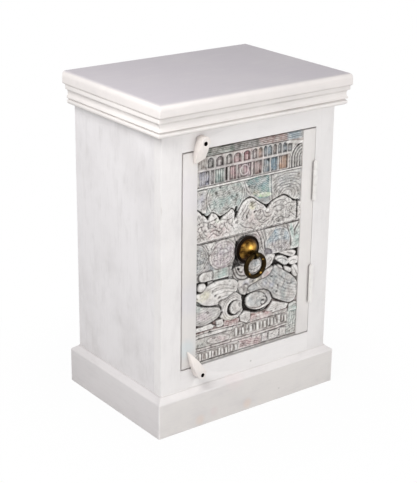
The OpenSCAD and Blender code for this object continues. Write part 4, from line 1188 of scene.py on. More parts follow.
def carve_combs(c):
    """Slanting slabs, and two combs with an eye-shaped leaf between them."""
    c.put(c.slab(-116, 108, 120, 177), 3, "pale")
    c.put(c.shape((
        -116, 190, -100, 183, -80, 186, -66, 190, -54, 186, -36, 178, -12, 184, -2, 190, 8, 184,
        26, 179, 46, 180, 60, 198, 76, 190, 96, 181, 112, 183, 120, 190, 120, 170, -116, 170,
    ), True), 2.4, "clay")
    c.ink(c.line((
        -116, 188, -98, 183, -74, 186, -65, 191, -56, 187, -40, 179, -22, 179, -8, 188, 8, 184,
        26, 180, 46, 181, 58, 196, 74, 190, 98, 180, 110, 183,
    )), 1.2, 0.8)
    for points, tone in (
        ((-116, 183, -80, 184.5, -70, 178, -78, 174.5, -116, 175), "white"),
        ((-69, 187, -55, 188, -51, 177, -56, 173, -66, 174), "pale"),
        ((-16, 184, -5, 190, 9, 185, 9, 172, 0, 166, -14, 173), "pale"),
        ((46, 178, 60, 194, 76, 188, 98, 180, 92, 172, 60, 171), "white"),
        ((98, 178, 112, 181, 120, 178, 120, 160, 98, 162), "aqua"),
    ):
        shape = c.shape(points, True)
        c.put(shape, 4.8, tone, crown=0.5, reach=3, rim=0.5)
        c.hatch(shape, 8, 4.2, 0.35, 0.18, 0.6, 20)
    strip = c.slab(-50, 167, -17, 181, -7)
    c.put(strip, 3.6, "rose", mix=0.45)
    c.hatch(strip, -4, 3.4, 0.8, 0.4, 0.4, 20)
    c.put(c.slab(10, 163, 60, 176), 3.4, "pink", mix=0.6)
    for x0, x1, z, ink in (
        (-116, -12, 167.4, 0.55), (-116, -6, 160.2, 0.5), (-116, -40, 172.6, 0.35),
        (0, 92, 163.5, 0.4),
    ):
        c.cut(0.9, 1.3, ink, ((x0, z), (x0 + 30, z + 0.8), (x1, z - 1.4)))
    c.tints(
        (c.slab(-116, 140, -84, 157), "moss", 0.35, 10),
        (c.slab(-116, 160, -20, 166), "white", 0.7, 4),
        (c.slab(-116, 116, -20, 136), "cool", 0.5, 8),
    )
    eye = c.oval(-62, 150.5, 25, 7.4, -5)
    c.put(eye, 3.8, "pink", crown=0.7, reach=4, rim=0.45, mix=0.5)
    c.hatch(eye, -8, 3.4, 0.6, 0.35, 0.5, 18)
    c.put(c.slab(-30, 144, 98, 162.5), 3.3, "stone")
    c.seep(c.slab(-29, 146, 96, 161), 1.2, 0.16)
    for k in range(15):
        x = -25 + 8.3 * k + (0, 1.3, -0.9, 0.6)[k % 4]
        wide = (5, 2.8, 4.4, 3.4, 5.6, 2.4)[k % 6]
        tooth = c.slab(x, 145.5 + k % 2 * 1.5, x + wide, 161.5 - k % 3 * 1.4, (2, -3, 5)[k % 3], 1)
        tone = ("white", "mauve", "white", "pale")[k % 4]
        c.put(tooth, 4.6, tone, crown=0.4, reach=2, rim=0.42 if k < 6 else 0.26)
    c.put(c.slab(96, 118, 120, 164), 3.6, "aqua", mix=0.5)
    c.hatch(c.slab(97, 119, 120, 163), 84, 5.5, 0.8, 0.4, 0.8, 26)
    c.hatch(c.slab(60, 117, 120, 142), 6, 5, 0.6, 0.3, 0.8, 26)
    for z, ink in ((142.6, 0.4), (137.4, 0.5), (133.6, 0.3)):
        c.cut(0.9, 1.1, ink, ((-116, z), (-40, z - 1), (40, z - 2.4), (96, z - 0.5)))
    c.tint(c.slab(-110, 134, 90, 142), "pink", 0.3, 6)
    c.put(c.slab(-108, 117.5, -18, 133), 3.3, "stone")
    c.seep(c.slab(-107, 119, -19, 132), 1.2, 0.18)
    for k in range(12):
        x = -105 + 7.2 * k + (0.5, -0.6, 0.9)[k % 3]
        wide = (4.4, 2.6, 3.6, 5)[k % 4]
        tooth = c.slab(x, 118.5, x + wide, 132 - k % 3 * 1.2, (1, -3, 3)[k % 3], 1)
        c.put(tooth, 4.4, ("pale", "mauve", "white")[k % 3], crown=0.4, reach=2, rim=0.42)
    strip = c.slab(-14, 117.5, 36, 133, -3)
    c.put(strip, 3.2, "rose", mix=0.5)
    c.hatch(strip, -14, 4.4, 0.9, 0.4, 0.9, 24)
    for x0, x1 in ((38, 50), (54, 76), (80, 94)):
        block = c.slab(x0, 118.5, x1, 134, -2, 2)
        c.put(block, 4, "mauve" if x0 < 50 else "pale", crown=0.3, rim=0.5)
    c.cut(1, 1.5, 0.6, (-116, 115.6, 120, 115.2), straight=True)
    c.put(c.slab(-116, 108, 120, 114.6), 3.8, "grey")


def weather(c):
    """Small curling cuts, chips and worn tone over the whole board."""
    random = np.random.default_rng(WEATHER_SEED)

    def field(radius):
        """Chance values with a spread of 1, blurred over that many points."""
        cells = blurred(random.standard_normal(c.x.shape), radius)
        return cells / cells.std()

    zones = (  # lowest z, highest z, how busy its small cuts are
        (484, 520, 0.15), (437, 484, 0.45), (402, 437, 0.6), (338, 402, 1.0), (284, 338, 0.75),
        (262, 284, 0.6), (184, 262, 0.33), (100, 184, 0.6),
    )
    busy = sum(
        amount * soft_step((c.z - low) / 5 + 0.5) * soft_step((high - c.z) / 5 + 0.5)
        for low, high, amount in zones
    )
    patches = soft_step(0.5 + 0.5 * field(6))
    for radius, depth, ink in ((2, 0.8, 0.8), (1, 0.45, 0.55)):
        cut = np.exp(-((field(radius) / 0.17) ** 2)) * busy * (0.45 + 0.55 * patches)
        c.height -= depth * cut
        c.dark = np.maximum(c.dark * (1 - 0.1 * busy), ink * cut)
    c.dark *= 1 + (np.clip(0.9 + 0.22 * field(2), 0.35, 1.15) - 1) * (1 - c.dark ** 4)
    chips = field(2)
    c.height += 0.16 * chips + 0.07 * field(1)
    c.height -= 0.7 * soft_step((-chips - 1.7) / 0.8)
    worn = np.array(shade(150, 140, 132))
    mix = np.clip(0.27 + 0.22 * field(4) + 0.10 * field(2), 0, 0.66)[..., None]
    c.tone = c.tone * (1 - mix) + worn * mix
    c.tone *= np.clip(0.94 + 0.09 * field(3) + 0.08 * field(1), 0.62, 1.14)[..., None]
    c.dark = np.maximum(c.dark, 0.26 * soft_step((-chips - 1.6) / 0.8))


def carved_surface(xs, zs, seat):
    """Height from 0, the ground, to 6, and the tone, the stain with painted shade in its hollows,
    and the high places for the wash and painted highlight, of each place on the board.
    """
    c = Carver(xs, zs)
    carve_arcades(c)
    floor, gap = carve_waves(c)
    carve_clouds(c, floor, gap)
    carve_medallions(c)
    carve_foliage(c)
    carve_combs(c)
    x, z = seat
    round_seat = c.oval(x, z, SEAT_RADIUS, SEAT_RADIUS)
    # Painted shadow of the rose on the board: dark to its left and lower left, with a dark tail
    # below, and a dark rim at its foot.
    rose_shadow = np.maximum(c.oval(x, z, 27.5, 27.5), 0)
    c.ink(np.where(c.x + 0.4 * (c.z - z) < x + 4, rose_shadow, 9), 1.4, 0.85)
    c.put(round_seat, TOP_LEVEL, "slate", edge=0.6)
    c.seep(c.oval(x - 2, z - 3, 25, 24), 0.8, 1.0)
    c.seep(c.shape((-29, 292, -22, 284, -16, 280, -26, 279, -36, 276, -31, 284)), 1.0, 1.0)
    c.seep(round_seat, 0.8, 1.0)
    below = soft_step((332 - c.z) / 8)  # the board's sides are darker in its lower part
    for inward, amount in ((c.x - c.x.min(), 0.3 + 0.6 * below), (c.x.max() - c.x, 0.6 * below)):
        c.ink(inward, 1.1, amount)
    weather(c)
    c.height = np.clip(c.height, 0.1, TOP_LEVEL)
    flat = soft_step(0.5 - round_seat / 0.6)
    c.height = c.height * (1 - flat) + TOP_LEVEL * flat
    # Painted shade and highlight: places lower than their surroundings are darkened into the
    # stain, and places higher than them take more wash.
    low, wide = blurred(c.height, 2) - c.height, blurred(c.height, 5) - c.height
    hollow = np.clip(low / 0.8, 0, 1) * 0.6 + np.clip(wide / 2.0, 0, 1) * 0.4
    high = np.clip(-low / 0.5, 0, 1) * 0.6 + np.clip(-wide / 1.2, 0, 1) * 0.4
    dark = np.clip(c.dark + 0.85 * hollow * (1 - c.dark), 0, 1)
    high *= 1 - 0.5 * soft_step((c.z - 438) / 4)  # the arcades keep more of their colour
    return c.height, np.clip(c.tone, 0, 1), dark, high


def carving_material():
    """Stained and tinted carving under a white wash, with painted shade and highlight, from the
    board's own attributes.
    """
    material, graph = new_material("washed_carving")
    carving = bpy.context.scene.cupboard_carving
    at = along_grain(graph, "X")
    patches = graph.noise(at, 90, 4, 0.62)
    fine = graph.noise(graph.stretched(at, (1, 1, 0.25)), 900, 3, 0.6)
    wash = graph.times(graph.span(patches, 0.38, 0.66, 0.15, 1.0), carving.wash_amount)
    # The high places take more wash, partly the wash left there and partly painted highlight.
    wash = graph.plus(wash, graph.times(graph.attribute("high"), 0.55), clamp=True)
    colour = graph.blend(wash, graph.attribute("tone", "Color"), rgba(carving.wash))
    speck = graph.times(graph.span(fine, 0.52, 0.72), 0.22)
    colour = graph.blend(speck, colour, rgba(shade(150, 138, 126)))
    grip = graph.span(fine, 0.2, 0.8, 0.94, 1.12)
    # The stain attribute holds the carved stain and the painted shade of the hollows.
    held = graph.times(graph.attribute("stain"), grip, clamp=True)
    colour = graph.blend(held, colour, rgba(carving.stain))
    height = graph.plus(fine, graph.times(patches, 0.6))
    finish_material(graph, colour, graph.span(fine, 0.3, 0.7, 0.6, 0.78), height, 0.35, 0.35 * MM,
                    specular=0.12)
    return material


def carved_board(settings):
    """The door's board: a fine grid pushed out to the carved heights, on a plain back."""
    (x0, x1), (z0, z1) = BOARD_X, BOARD_Z
    columns = round((x1 - x0) / settings.pitch)
    rows = round((z1 - z0) / settings.pitch)
    xs, zs = np.linspace(x0, x1, columns + 1), np.linspace(z0, z1, rows + 1)
    seat = (PULL.x / MM, PULL.z / MM)
    height, tone, dark, high = carved_surface(xs / MM, zs / MM, seat)
    bm = bmesh.new()
    bmesh.ops.create_grid(
        bm, x_segments=columns, y_segments=rows, size=0.5,
        matrix=Matrix.Translation(((x0 + x1) / 2, 0, (z0 + z1) / 2))
        @ Matrix.Rotation(math.pi / 2, 4, "X") @ Matrix.Diagonal((x1 - x0, z1 - z0, 1, 1)),
    )
    place = {
        v: (round((v.co.z - z0) / (z1 - z0) * rows), round((v.co.x - x0) / (x1 - x0) * columns))
        for v in bm.verts
    }
    ground = FRONT_Y + settings.relief
    for v, (row, column) in place.items():
        v.co.y = ground - height[row, column] / TOP_LEVEL * settings.relief
    rim = [e for e in bm.edges if e.is_boundary]
    sides = bmesh.ops.extrude_edge_only(bm, edges=rim)["geom"]
    back = [v for v in sides if isinstance(v, bmesh.types.BMVert)]
    for v in back:
        v.co.y = BOARD_BACK
    bmesh.ops.contextual_create(bm, geom=[e for e in sides if isinstance(e, bmesh.types.BMEdge)])
    bmesh.ops.recalc_face_normals(bm, faces=bm.faces)
    bm.verts.index_update()
    for face in bm.faces:
        face.material_index = int(not any(v in place for v in face.verts))
    index = np.array([place.get(v, (0, 0)) for v in bm.verts])
    is_front = np.array([v in place for v in bm.verts])
    piece = new_piece(
        "carved_board_washed", bm, (carving_material(), bare_wood("Z")), "door",
        ("carved_board",), math.radians(80),
    )
    colours = np.ones((len(index), 4), np.float32)
    colours[:, :3] = tone[index[:, 0], index[:, 1]]
    colours[~is_front, :3] = shade(196, 184, 168)
    layer = piece.data.attributes.new("tone", "FLOAT_COLOR", "POINT")
    layer.data.foreach_set("color", colours.ravel())
    for name, values in (("stain", dark), ("high", high)):
        layer = piece.data.attributes.new(name, "FLOAT", "POINT")
        values = values[index[:, 0], index[:, 1]] * is_front
        layer.data.foreach_set("value", values.astype(np.float32))


# ---- the painted case ----


class BuildCase(bpy.types.Operator):
    """Sides, back and face frame, painted and with sanded edges"""

    bl_idname = "cupboard.build_case"
    bl_label = "Case"

    def execute(self, context):
        paint = context.scene.cupboard_paint
        # Painted shade: a dark line on the case just under the cornice, where the cornice shades
        # it.
        under = (CORNICE_Z - 0.4, 2.6, 0.36)
        # The left side also takes painted shade along the plinth's top, and darkens towards the
        # bottom where less light reaches it.
        side = painted(
            "side_paint", shade(235, 232, 233), "Z", 1.25,
            creases=(under, (PLINTH_Z + 0.2, 2.2, 0.22), (PLINTH_Z, 170, 0.17)),
        )
        upright = painted("white_paint", paint.body_colour, "Z", 0.9, creases=(under,))
        level = painted(
            "white_paint", paint.body_colour, "X", 0.6, creases=(under,),
            spots=(((11.3, FACE_Y, 88.2), 2.8, 0.5, shade(150, 152, 146)),),
        )
        for node in ("side_panel_left", "side_panel_right", "back_panel", "face_stile_left",
                     "face_stile_right", "face_rail_top", "face_rail_bottom"):
            bm = merged(node)
            corner = [
                e for e in bm.edges
                if all(
                    abs(v.co.x) > SIDE_X - 0.1 * MM and v.co.y < FRONT_Y + 0.1 * MM
                    for v in e.verts
                )
            ]
            if corner:
                soften(bm, paint.edge_round, only=lambda e: e in corner)
            soften(bm, 0.1 * paint.edge_round, segments=1)
            finish = level if "rail" in node else side if "side" in node else upright
            new_piece(f"{node}_painted", bm, finish, "carcass", (node,))
        return {"FINISHED"}


class BuildMouldings(bpy.types.Operator):
    """Cornice and plinth, mitred at the corners"""

    bl_idname = "cupboard.build_mouldings"
    bl_label = "Mouldings"

    def execute(self, context):
        paint = context.scene.cupboard_paint
        # Painted shade: dark lines in the cornice's grooves and coves, at its joints with the case
        # and the top, and along the plinth's top.
        cornice = ((CORNICE_Z + 0.3, 1.8, 0.3), (CORNICE_Z + 10.1, 2.2, 0.52),
                   (TOP_Z - 10, 3.6, 0.42), (TOP_Z - 0.3, 2.2, 0.4))
        plinth = ((PLINTH_Z - 0.3, 1.0, 0.12),)
        stains = (
            ((69.7, FOOT_Y, 21.4), 2.4, 0.4, shade(150, 150, 144)),
            ((-5, FOOT_Y, 13), 14, 0.3, shade(226, 196, 176)),
            ((-112, FOOT_Y, 12), 14, 0.28, shade(226, 198, 178)),
            ((-81, FOOT_Y, 20), 13, 0.24, shade(216, 196, 196)),
            ((-34, -133, 68), 30, 0.2, shade(236, 216, 216)),
        )
        for name, nodes, creases, corner_round in (
            ("cornice", ("cornice_front", "cornice_left", "cornice_right"), cornice, 0.9),
            (
                "plinth", ("plinth_front", "plinth_left", "plinth_right", "plinth_back"), plinth,
                2.5,
            ),
        ):
            low = name == "plinth"
            # The plinth's side runs are painted a little darker than its front, as painted shade;
            # its lighter second tone is a painted highlight.
            finish = tuple(
                painted(
                    f"{name}_paint", tone if low else shade(238, 233, 230), grain,
                    1.4 if low else 0.6, second=slope if low else None, creases=creases,
                    spots=stains if low and grain == "X" else (),
                )
                for grain, tone, slope in (
                    ("X", shade(222, 218, 215), shade(231, 227, 226)),
                    ("Y", shade(220, 216, 216), shade(227, 223, 223)),
                )
            )
            bm = merged(*nodes)
            round_corners(bm, corner_round * MM, back=low)
            # the plinth's inner top edge lies against the case and stays sharp
            joint = {
                e for e in bm.edges
                if low and all(
                    v.co.z > (PLINTH_Z - 1) * MM and abs(v.co.x) < SIDE_X + MM
                    and v.co.y > FRONT_Y - MM
                    for v in e.verts
                )
            }
            soften(bm, 0.3 * paint.edge_round, only=lambda e: e not in joint)
            # On the plinth, painted highlight: the upward slope and the rounded corners take the
            # lighter second tone.
            mark(bm, "second", lambda face, at: face.normal.z > 0.15
                 or min(abs(face.normal.x), abs(face.normal.y)) > 0.15)
            new_piece(f"{name}_painted", bm, finish, "carcass", nodes)
        return {"FINISHED"}


class BuildTop(bpy.types.Operator):
    """Top board with its rounded edge"""

    bl_idname = "cupboard.build_top"
    bl_label = "Top"

    def execute(self, context):
        paint = context.scene.cupboard_paint
        # Painted shade: a dark line along the slab's foot, over the cornice, and a darker tone on
        # the top face.
        finish = painted(
            "white_top", shade(233, 227, 224), "X", 0.7, 0.5, paint.top_shaded_colour,
            ((TOP_Z + 0.4, 3.0, 0.35),),
        )
        bm = merged("top_board")
        round_corners(bm, 4 * MM)
        soften(bm, 0.4 * paint.edge_round)
        high = max(v.co.z for v in bm.verts)
        # Painted shade: the top face takes the darker second tone, fading out down the rounded
        # edge.
        mark(bm, "second", lambda face, at: max(0, 1 - (high - at.z) / (2.8 * MM)))
        new_piece("top_board_painted", bm, finish, "carcass", ("top_board",))
        return {"FINISHED"}


# ---- the door ----


class BuildDoorStiles(bpy.types.Operator):
    """The door's two narrow stiles"""

    bl_idname = "cupboard.build_door_stiles"
    bl_label = "Door stiles"

    def execute(self, context):
        paint = context.scene.cupboard_paint
        finish = painted(
            "white_door", paint.door_colour, spots=(
                ((-133, FACE_Y, 150), 26, 0.4, shade(206, 222, 228)),
                ((-128, FACE_Y, 240), 40, 0.22, shade(214, 214, 228)),
                ((-128, FACE_Y, 430), 60, 0.22, shade(220, 214, 226)),
            ),
        )
        for node in ("door_stile_latch", "door_stile_hinge"):
            painted_copy(node, finish, paint.edge_round, "door")
        return {"FINISHED"}


class BuildCarving(bpy.types.Operator):
    """The carved board, in worn colours under a white wash"""

    bl_idname = "cupboard.build_carving"
    bl_label = "Carved board"

    def execute(self, context):
        carved_board(context.scene.cupboard_carving)
        return {"FINISHED"}


class BuildHinges(bpy.types.Operator):
    """Two butt hinges, painted over with the case"""

    bl_idname = "cupboard.build_hinges"
    bl_label = "Hinges"

    def execute(self, context):
        paint = context.scene.cupboard_paint
        # Painted shade: the knuckles' dark second tone stands for the shade in the gap beside
        # them.
        finish = painted(
            "hinge_paint", shade(236, 233, 230), "Z", 0.6, second=shade(52, 47, 44)
        )

        def slit_shade(face, at):
            """Painted shade in the gap beside the knuckles, towards the board."""
            proud = (FRONT_Y - at.y) / (2.8 * MM)
            return (at.x < HINGE_X) * max(0, min(1, 1.35 - proud))

        for which in ("upper", "lower"):
            for part, body in (
                ("frame_leaf", "carcass"), ("door_leaf", "door"), ("pin", "carcass"),
            ):
                painted_copy(
                    f"hinge_{which}_{part}", finish, 0.35 * paint.edge_round, body,
                    slit_shade,
                )
        return {"FINISHED"}


# ---- the ring pull ----


def brass(name, age_and_sheen, patina):
    """Aged brass; a piece's own attribute adds to the patina amount and carries painted highlights
    and shade.
    """
    material, graph = new_material(name)
    out = graph.group(
        "Aged brass",
        {
            "Vector": along_grain(graph),
            "Brass": rgba(bpy.context.scene.cupboard_metal.brass), "Patina": rgba(patina),
            "Age": graph.plus(graph.attribute("age_and_sheen"), age_and_sheen),
        },
    )
    finish_material(graph, out["Colour"], out["Roughness"], out["Height"], 0.18, 0.12 * MM,
                    metallic=1.0)
    return material


def turned(profile, centre, steps=96):
    """A closed (radius, forward) outline, spun about the line through centre along Y."""
    bm = bmesh.new()
    verts = [bm.verts.new((centre.x + r, centre.y - out, centre.z)) for r, out in profile]
    edges = [bm.edges.new((a, b)) for a, b in zip(verts, verts[1:] + verts[:1])]
    bmesh.ops.spin(
        bm, geom=verts + edges, cent=centre, axis=(0, 1, 0), angle=2 * math.pi, steps=steps,
        use_merge=True, use_duplicate=False,
    )
    bmesh.ops.remove_doubles(bm, verts=bm.verts, dist=0.01 * MM)
    bmesh.ops.recalc_face_normals(bm, faces=bm.faces)
    return bm


class BuildPull(bpy.types.Operator):
    """Dark rose, worn dome with a painted highlight, eye and hanging ring"""

    bl_idname = "cupboard.build_pull"
    bl_label = "Ring pull"

    def execute(self, context):
        metal = context.scene.cupboard_metal
        dark = brass("dark_brass", 1.2, shade(34, 26, 21))
        worn = brass("worn_brass", 0.5, metal.patina)
        bore = 3.05 * MM
        rose_r, rose_t = (ROSE[1].x - ROSE[0].x) / 2, ROSE[1].y - ROSE[0].y
        dome_r, dome_h = 0.8 * rose_r, DOME[1].y - DOME[0].y

        rose = [(bore, 0), (rose_r - 0.4 * MM, 0), (rose_r, 0.5 * MM), (rose_r, rose_t - 0.9 * MM),
                (rose_r - 0.7 * MM, rose_t - 0.2 * MM), (rose_r - 1.6 * MM, rose_t),
                (dome_r + 2.2 * MM, rose_t - 0.1 * MM), (dome_r + 1.2 * MM, rose_t - 0.6 * MM),
                (dome_r + 0.4 * MM, rose_t), (bore, rose_t)]
        new_piece("pull_rose_dark", turned(rose, PULL), dark, "door", ("pull_rose",))

        ball = (dome_r ** 2 + dome_h ** 2) / (2 * dome_h)  # radius of the ball that it is cut from
        rim_angle = math.asin(min(1, dome_r / ball))
        angles = [rim_angle * k / 14 for k in range(13, 1, -1)]
        dome = [
            (dome_r, rose_t), (dome_r, rose_t + 0.5 * MM), (dome_r - 0.5 * MM, rose_t + 0.9 * MM),
            *((ball * math.sin(a), rose_t + dome_h - ball * (1 - math.cos(a))) for a in angles),
            (bore, rose_t + dome_h - 0.1 * MM), (bore, rose_t),
        ]
        bm = turned(dome, PULL)
        # Painted reflection: the dome is bright brass where a highlight falls, upper middle and
        # lower left, and dark brown elsewhere, partly patina and partly painted reflection of dark
        # surroundings.
        layer = bm.verts.layers.float.new("age_and_sheen")
        for v in bm.verts:
            across, up = (v.co.x - PULL.x) / dome_r, (v.co.z - PULL.z) / dome_r
            painted_highlight = math.exp(-(((across - 0.05) / 0.75) ** 2) - ((up - 0.38) / 0.3) ** 2)
            lower_left_sheen = math.exp(-(((across + 0.75) / 0.3) ** 2) - ((up + 0.3) / 0.35) ** 2)
            v[layer] = 0.56 - 0.86 * painted_highlight - 0.36 * lower_left_sheen
        new_piece("pull_dome_worn_highlit", bm, worn, "door", ("pull_dome",))

        bm = merged("pull_eye")
        soften(bm, 0.7 * MM, segments=3)
        new_piece(
            "pull_eye_worn", bm, brass("eye_brass", 1.0, shade(44, 37, 20)), "door",
            ("pull_eye",),
        )

        centre = Vector([middle(RING, axis) for axis in range(3)])
        wire = (RING[1].y - RING[0].y) / 2
        round_r = (RING[1].x - RING[0].x) / 2 - wire  # to the middle of the wire
        section = [
            (round_r + wire * math.cos(a), wire * math.sin(a))
            for a in (2 * math.pi * k / 20 for k in range(20))
        ]
        bm = turned(section, centre, 120)
        layer = bm.verts.layers.float.new("age_and_sheen")
        # Painted light on the ring: a lighter band along its inner left and small glints as
        # painted highlights, and darker tone towards the wire's sides as painted shade.
        for v in bm.verts:
            arm = Vector((v.co.x - centre.x, v.co.z - centre.z))
            off, round_at = (arm.length - round_r) / wire, math.atan2(arm.y, arm.x)
            glint = math.exp(-(((off + 0.6) / 0.3) ** 2))
            glint *= max(0, math.sin(4 * round_at - 0.9)) ** 9
            lit_band = math.exp(-(((off + 0.5) / 0.35) ** 2)) * max(0, math.cos(round_at - 2.8))
            v[layer] = 0.4 * off ** 2 - 0.4 * lit_band - 1.1 * glint
        new_piece(
            "pull_ring_dark", bm, brass("ring_brass", 1.08, shade(44, 34, 18)),
            "pull_ring", ("pull_ring",), math.radians(60),
        )

        for node in ("pull_washer", "pull_nut"):
            bm = merged(node)
            soften(bm, 0.25 * MM)
            new_piece(f"{node}_worn", bm, worn, "door", (node,))
        return {"FINISHED"}


COUNTERBORE = 3.75 * MM  # faces nearer than this to a turn button's screw are in its hole


class BuildButtons(bpy.types.Operator):
    """Two wooden turn buttons, whittled and painted"""

    bl_idname = "cupboard.build_buttons"
    bl_label = "Turn buttons"

    def execute(self, context):
        paint = context.scene.cupboard_paint
        # Painted shade: the darker second tone goes on the buttons' downward faces.
        finish = painted(
            "button_paint", shade(241, 233, 227), "Z", 1.3, second=shade(180, 174, 164), lumps=1.6
        )
        # Painted shade: a very dark material for the walls and floor of the screw holes, which lie
        # in shade.
        bore, graph = new_material("button_hole_shade")
        finish_material(graph, rgba(shade(20, 15, 13)), 0.9, None, 0, 0, specular=0.1)
        for name, body in (("top", "button_top"), ("bottom", "button_low")):
            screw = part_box(f"button_screw_{name}")
            axis = Vector((middle(screw, 0), 0, middle(screw, 2)))
            bm = merged(f"turn_button_{name}")
            tip = max(bm.verts, key=lambda v: abs(v.co.z - axis.z))
            along = Vector((tip.co.x - axis.x, 0, tip.co.z - axis.z))
            for v in bm.verts:  # the blade is made fuller between its head and its tip
                place = Vector((v.co.x - axis.x, 0, v.co.z - axis.z))
                share = place.dot(along) / along.length_squared
                if 0.3 < share < 0.6:
                    beside = place - share * along
                    broad = name == "top" and beside.x > 0
                    wider, further = (1.25, 0.2) if broad else (1.06, 0.06)
                    v.co += (wider - 1) * beside + further * along
            soften(bm, 0.6 * paint.edge_round)
            mark(bm, "second", lambda face, at: face.normal.z < -0.55 and face.normal.x < 0.3)
            for face in bm.faces:
                off = face.calc_center_median() - axis
                face.material_index = int(math.hypot(off.x, off.z) < COUNTERBORE)
            new_piece(
                f"turn_button_{name}_painted", bm, (finish, bore), body,
                (f"turn_button_{name}",),
            )
        return {"FINISHED"}


# ---- inside and fastenings ----


class BuildInside(bpy.types.Operator):
    """Bare wooden boards, cleats and battens"""

    bl_idname = "cupboard.build_inside"
    bl_label = "Inside"

    def execute(self, context):
        across = ("bottom_board", "shelf", "top_batten_front", "top_batten_back", "door_stop")
        along = (
            "bottom_cleat_left", "bottom_cleat_right", "shelf_cleat_left", "shelf_cleat_right",
        )
        for nodes, grain, body in (
            (across, "X", "carcass"), (along, "Y", "carcass"),
            (("door_batten_top", "door_batten_bottom"), "X", "door"),
        ):
            for node in nodes:
                bm = merged(node)
                soften(bm, 0.5 * MM)
                new_piece(f"{node}_bare", bm, bare_wood(grain), body, (node,))
        return {"FINISHED"}


class BuildFastenings(bpy.types.Operator):
    """Dull steel for the screws and nails"""

    bl_idname = "cupboard.build_fastenings"
    bl_label = "Screws and nails"

    def execute(self, context):
        plain = steel("dull_steel", context.scene.cupboard_metal.screw, shade(84, 76, 68))
        # Painted shade: the turn buttons' screws sit in shaded holes and are made very dark.
        black = steel("screw_hole_shade_steel", shade(34, 30, 28), shade(22, 19, 17))
        for node in ("top_screws", "back_nails", "batten_screws", "hinge_frame_screws",
                     "hinge_door_screws", "button_screw_top", "button_screw_bottom"):
            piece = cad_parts[node]
            if not piece.material_slots:
                raise RuntimeError(f"{node} has no material slot")
            for place in piece.material_slots:
                place.material = black if node.startswith("button") else plain
        return {"FINISHED"}


# ---- stage ----


def floor_material():
    """White floor that keeps the shadow under the cupboard and fades to the background."""
    material, graph = new_material("floor")
    at = graph.place()
    reach = graph.node("ShaderNodeVectorMath", {0: at}, operation="LENGTH").outputs["Value"]
    tone = graph.blend(
        graph.span(graph.noise(at, 3, 2), 0.3, 0.7), rgba(shade(238, 238, 238)),
        rgba(shade(242, 242, 242)),
    )
    plain = graph.node("ShaderNodeBsdfPrincipled", {
        "Base Color": tone, "Roughness": 0.9, "Specular IOR Level": 0.1,
    })
    white = graph.node("ShaderNodeEmission", {"Color": (1, 1, 1, 1), "Strength": 1.0})
    seen = graph.node("ShaderNodeLightPath").outputs["Is Camera Ray"]
    lift = graph.times(seen, graph.span(reach, 0.15, 0.5, 0.95, 1.0))
    mixed = graph.node("ShaderNodeMixShader", {0: lift, 1: plain.outputs[0], 2: white.outputs[0]})
    graph.node("ShaderNodeOutputMaterial", {"Surface": mixed.outputs[0]})
    return material


def lamp(name, place, target, size, watts):
    """A soft rectangular lamp that points at a place."""
    data = bpy.data.lights.new(name, "AREA")
    data.shape = "RECTANGLE"
    data.size, data.size_y = size
    data.energy = watts
    light = bpy.data.objects.new(name, data)
    light.location = place
    light.rotation_euler = (Vector(target) - Vector(place)).to_track_quat("-Z", "Y").to_euler()
    bpy.context.scene.collection.objects.link(light)


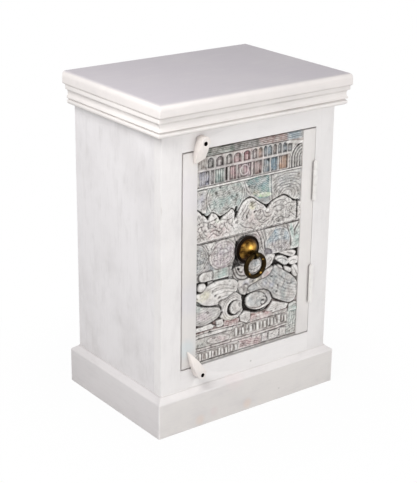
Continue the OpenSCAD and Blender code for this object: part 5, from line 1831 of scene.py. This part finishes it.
class BuildStage(bpy.types.Operator):
    """Camera, pale floor and soft light"""

    bl_idname = "cupboard.build_stage"
    bl_label = "Stage"

    def execute(self, context):
        scene = context.scene
        stage = scene.cupboard_stage
        data = bpy.data.cameras.new("camera")
        data.lens, data.sensor_width, data.sensor_fit = stage.lens, 36, "AUTO"
        camera = bpy.data.objects.new("camera", data)
        turn = (CAMERA_AIM - CAMERA_AT).to_track_quat("-Z", "Y")
        turn @= Quaternion((0, 0, 1), CAMERA_ROLL)
        camera.location, camera.rotation_euler = CAMERA_AT, turn.to_euler()
        scene.collection.objects.link(camera)
        scene.camera = camera

        bm = bmesh.new()
        bmesh.ops.create_grid(bm, x_segments=8, y_segments=8, size=6)
        mesh = bpy.data.meshes.new("floor")
        bm.to_mesh(mesh)
        bm.free()
        mesh.materials.append(floor_material())
        floor = bpy.data.objects.new("floor", mesh)
        scene.collection.objects.link(floor)

        world = bpy.data.worlds.new("studio")
        world.use_nodes = True
        world.node_tree.nodes.clear()
        graph = Graph(world.node_tree)
        path = graph.node("ShaderNodeLightPath").outputs
        seen = graph.plus(path["Is Camera Ray"], path["Is Glossy Ray"], clamp=True)
        seen = graph.plus(seen, path["Is Transmission Ray"], clamp=True)
        way = graph.node("ShaderNodeTexCoord").outputs["Generated"]
        up = graph.node("ShaderNodeSeparateXYZ", {0: way}).outputs["Z"]
        even = graph.times(graph.span(up, 0.1, 0.9, 1.0, 0.95), stage.sky)
        light = graph.node("ShaderNodeBackground", {"Color": (1, 1, 1, 1), "Strength": even})
        white = graph.node("ShaderNodeBackground", {"Color": (1, 1, 1, 1), "Strength": 1.0})
        mixed = graph.node(
            "ShaderNodeMixShader", {0: seen, 1: light.outputs[0], 2: white.outputs[0]}
        )
        graph.node("ShaderNodeOutputWorld", {"Surface": mixed.outputs[0]})
        scene.world = world

        lamp("key", (-0.82, -0.36, 1.2), (-0.15, 0, 0.64), (0.6, 0.6), stage.key)
        lamp("fill", (0.8, -2.0, 0.75), (0, 0, 0.32), (1.4, 1.0), stage.fill)
        scene.view_settings.view_transform = "Standard"
        return {"FINISHED"}


class CupboardPanel(bpy.types.Panel):
    """Lists the cupboard's pieces and settings"""

    bl_idname = "VIEW3D_PT_cupboard"
    bl_label = "Bedside Pot Cupboard"
    bl_space_type = "VIEW_3D"
    bl_region_type = "UI"
    bl_category = "Cupboard"

    def draw(self, context):
        column = self.layout.column(align=True)
        for operator in OPERATORS:
            column.operator(operator.bl_idname)
        for place, group in SETTINGS:
            box = self.layout.box()
            for name in group.__annotations__:
                box.prop(getattr(context.scene, place), name)


OPERATORS = (
    BuildCase, BuildTop, BuildMouldings, BuildDoorStiles, BuildCarving, BuildHinges, BuildPull,
    BuildButtons, BuildInside, BuildFastenings, BuildStage,
)
CLASSES = tuple(group for _, group in SETTINGS) + OPERATORS + (CupboardPanel,)


def register():
    for cls in CLASSES:
        bpy.utils.register_class(cls)
    for place, group in SETTINGS:
        setattr(bpy.types.Scene, place, PointerProperty(type=group))


def unregister():
    for place, _ in SETTINGS:
        delattr(bpy.types.Scene, place)
    for cls in reversed(CLASSES):
        bpy.utils.unregister_class(cls)


def main():
    register()
    for operator in OPERATORS:
        group, name = operator.bl_idname.split(".")
        getattr(getattr(bpy.ops, group), name)()


if __name__ == "__main__":
    main()
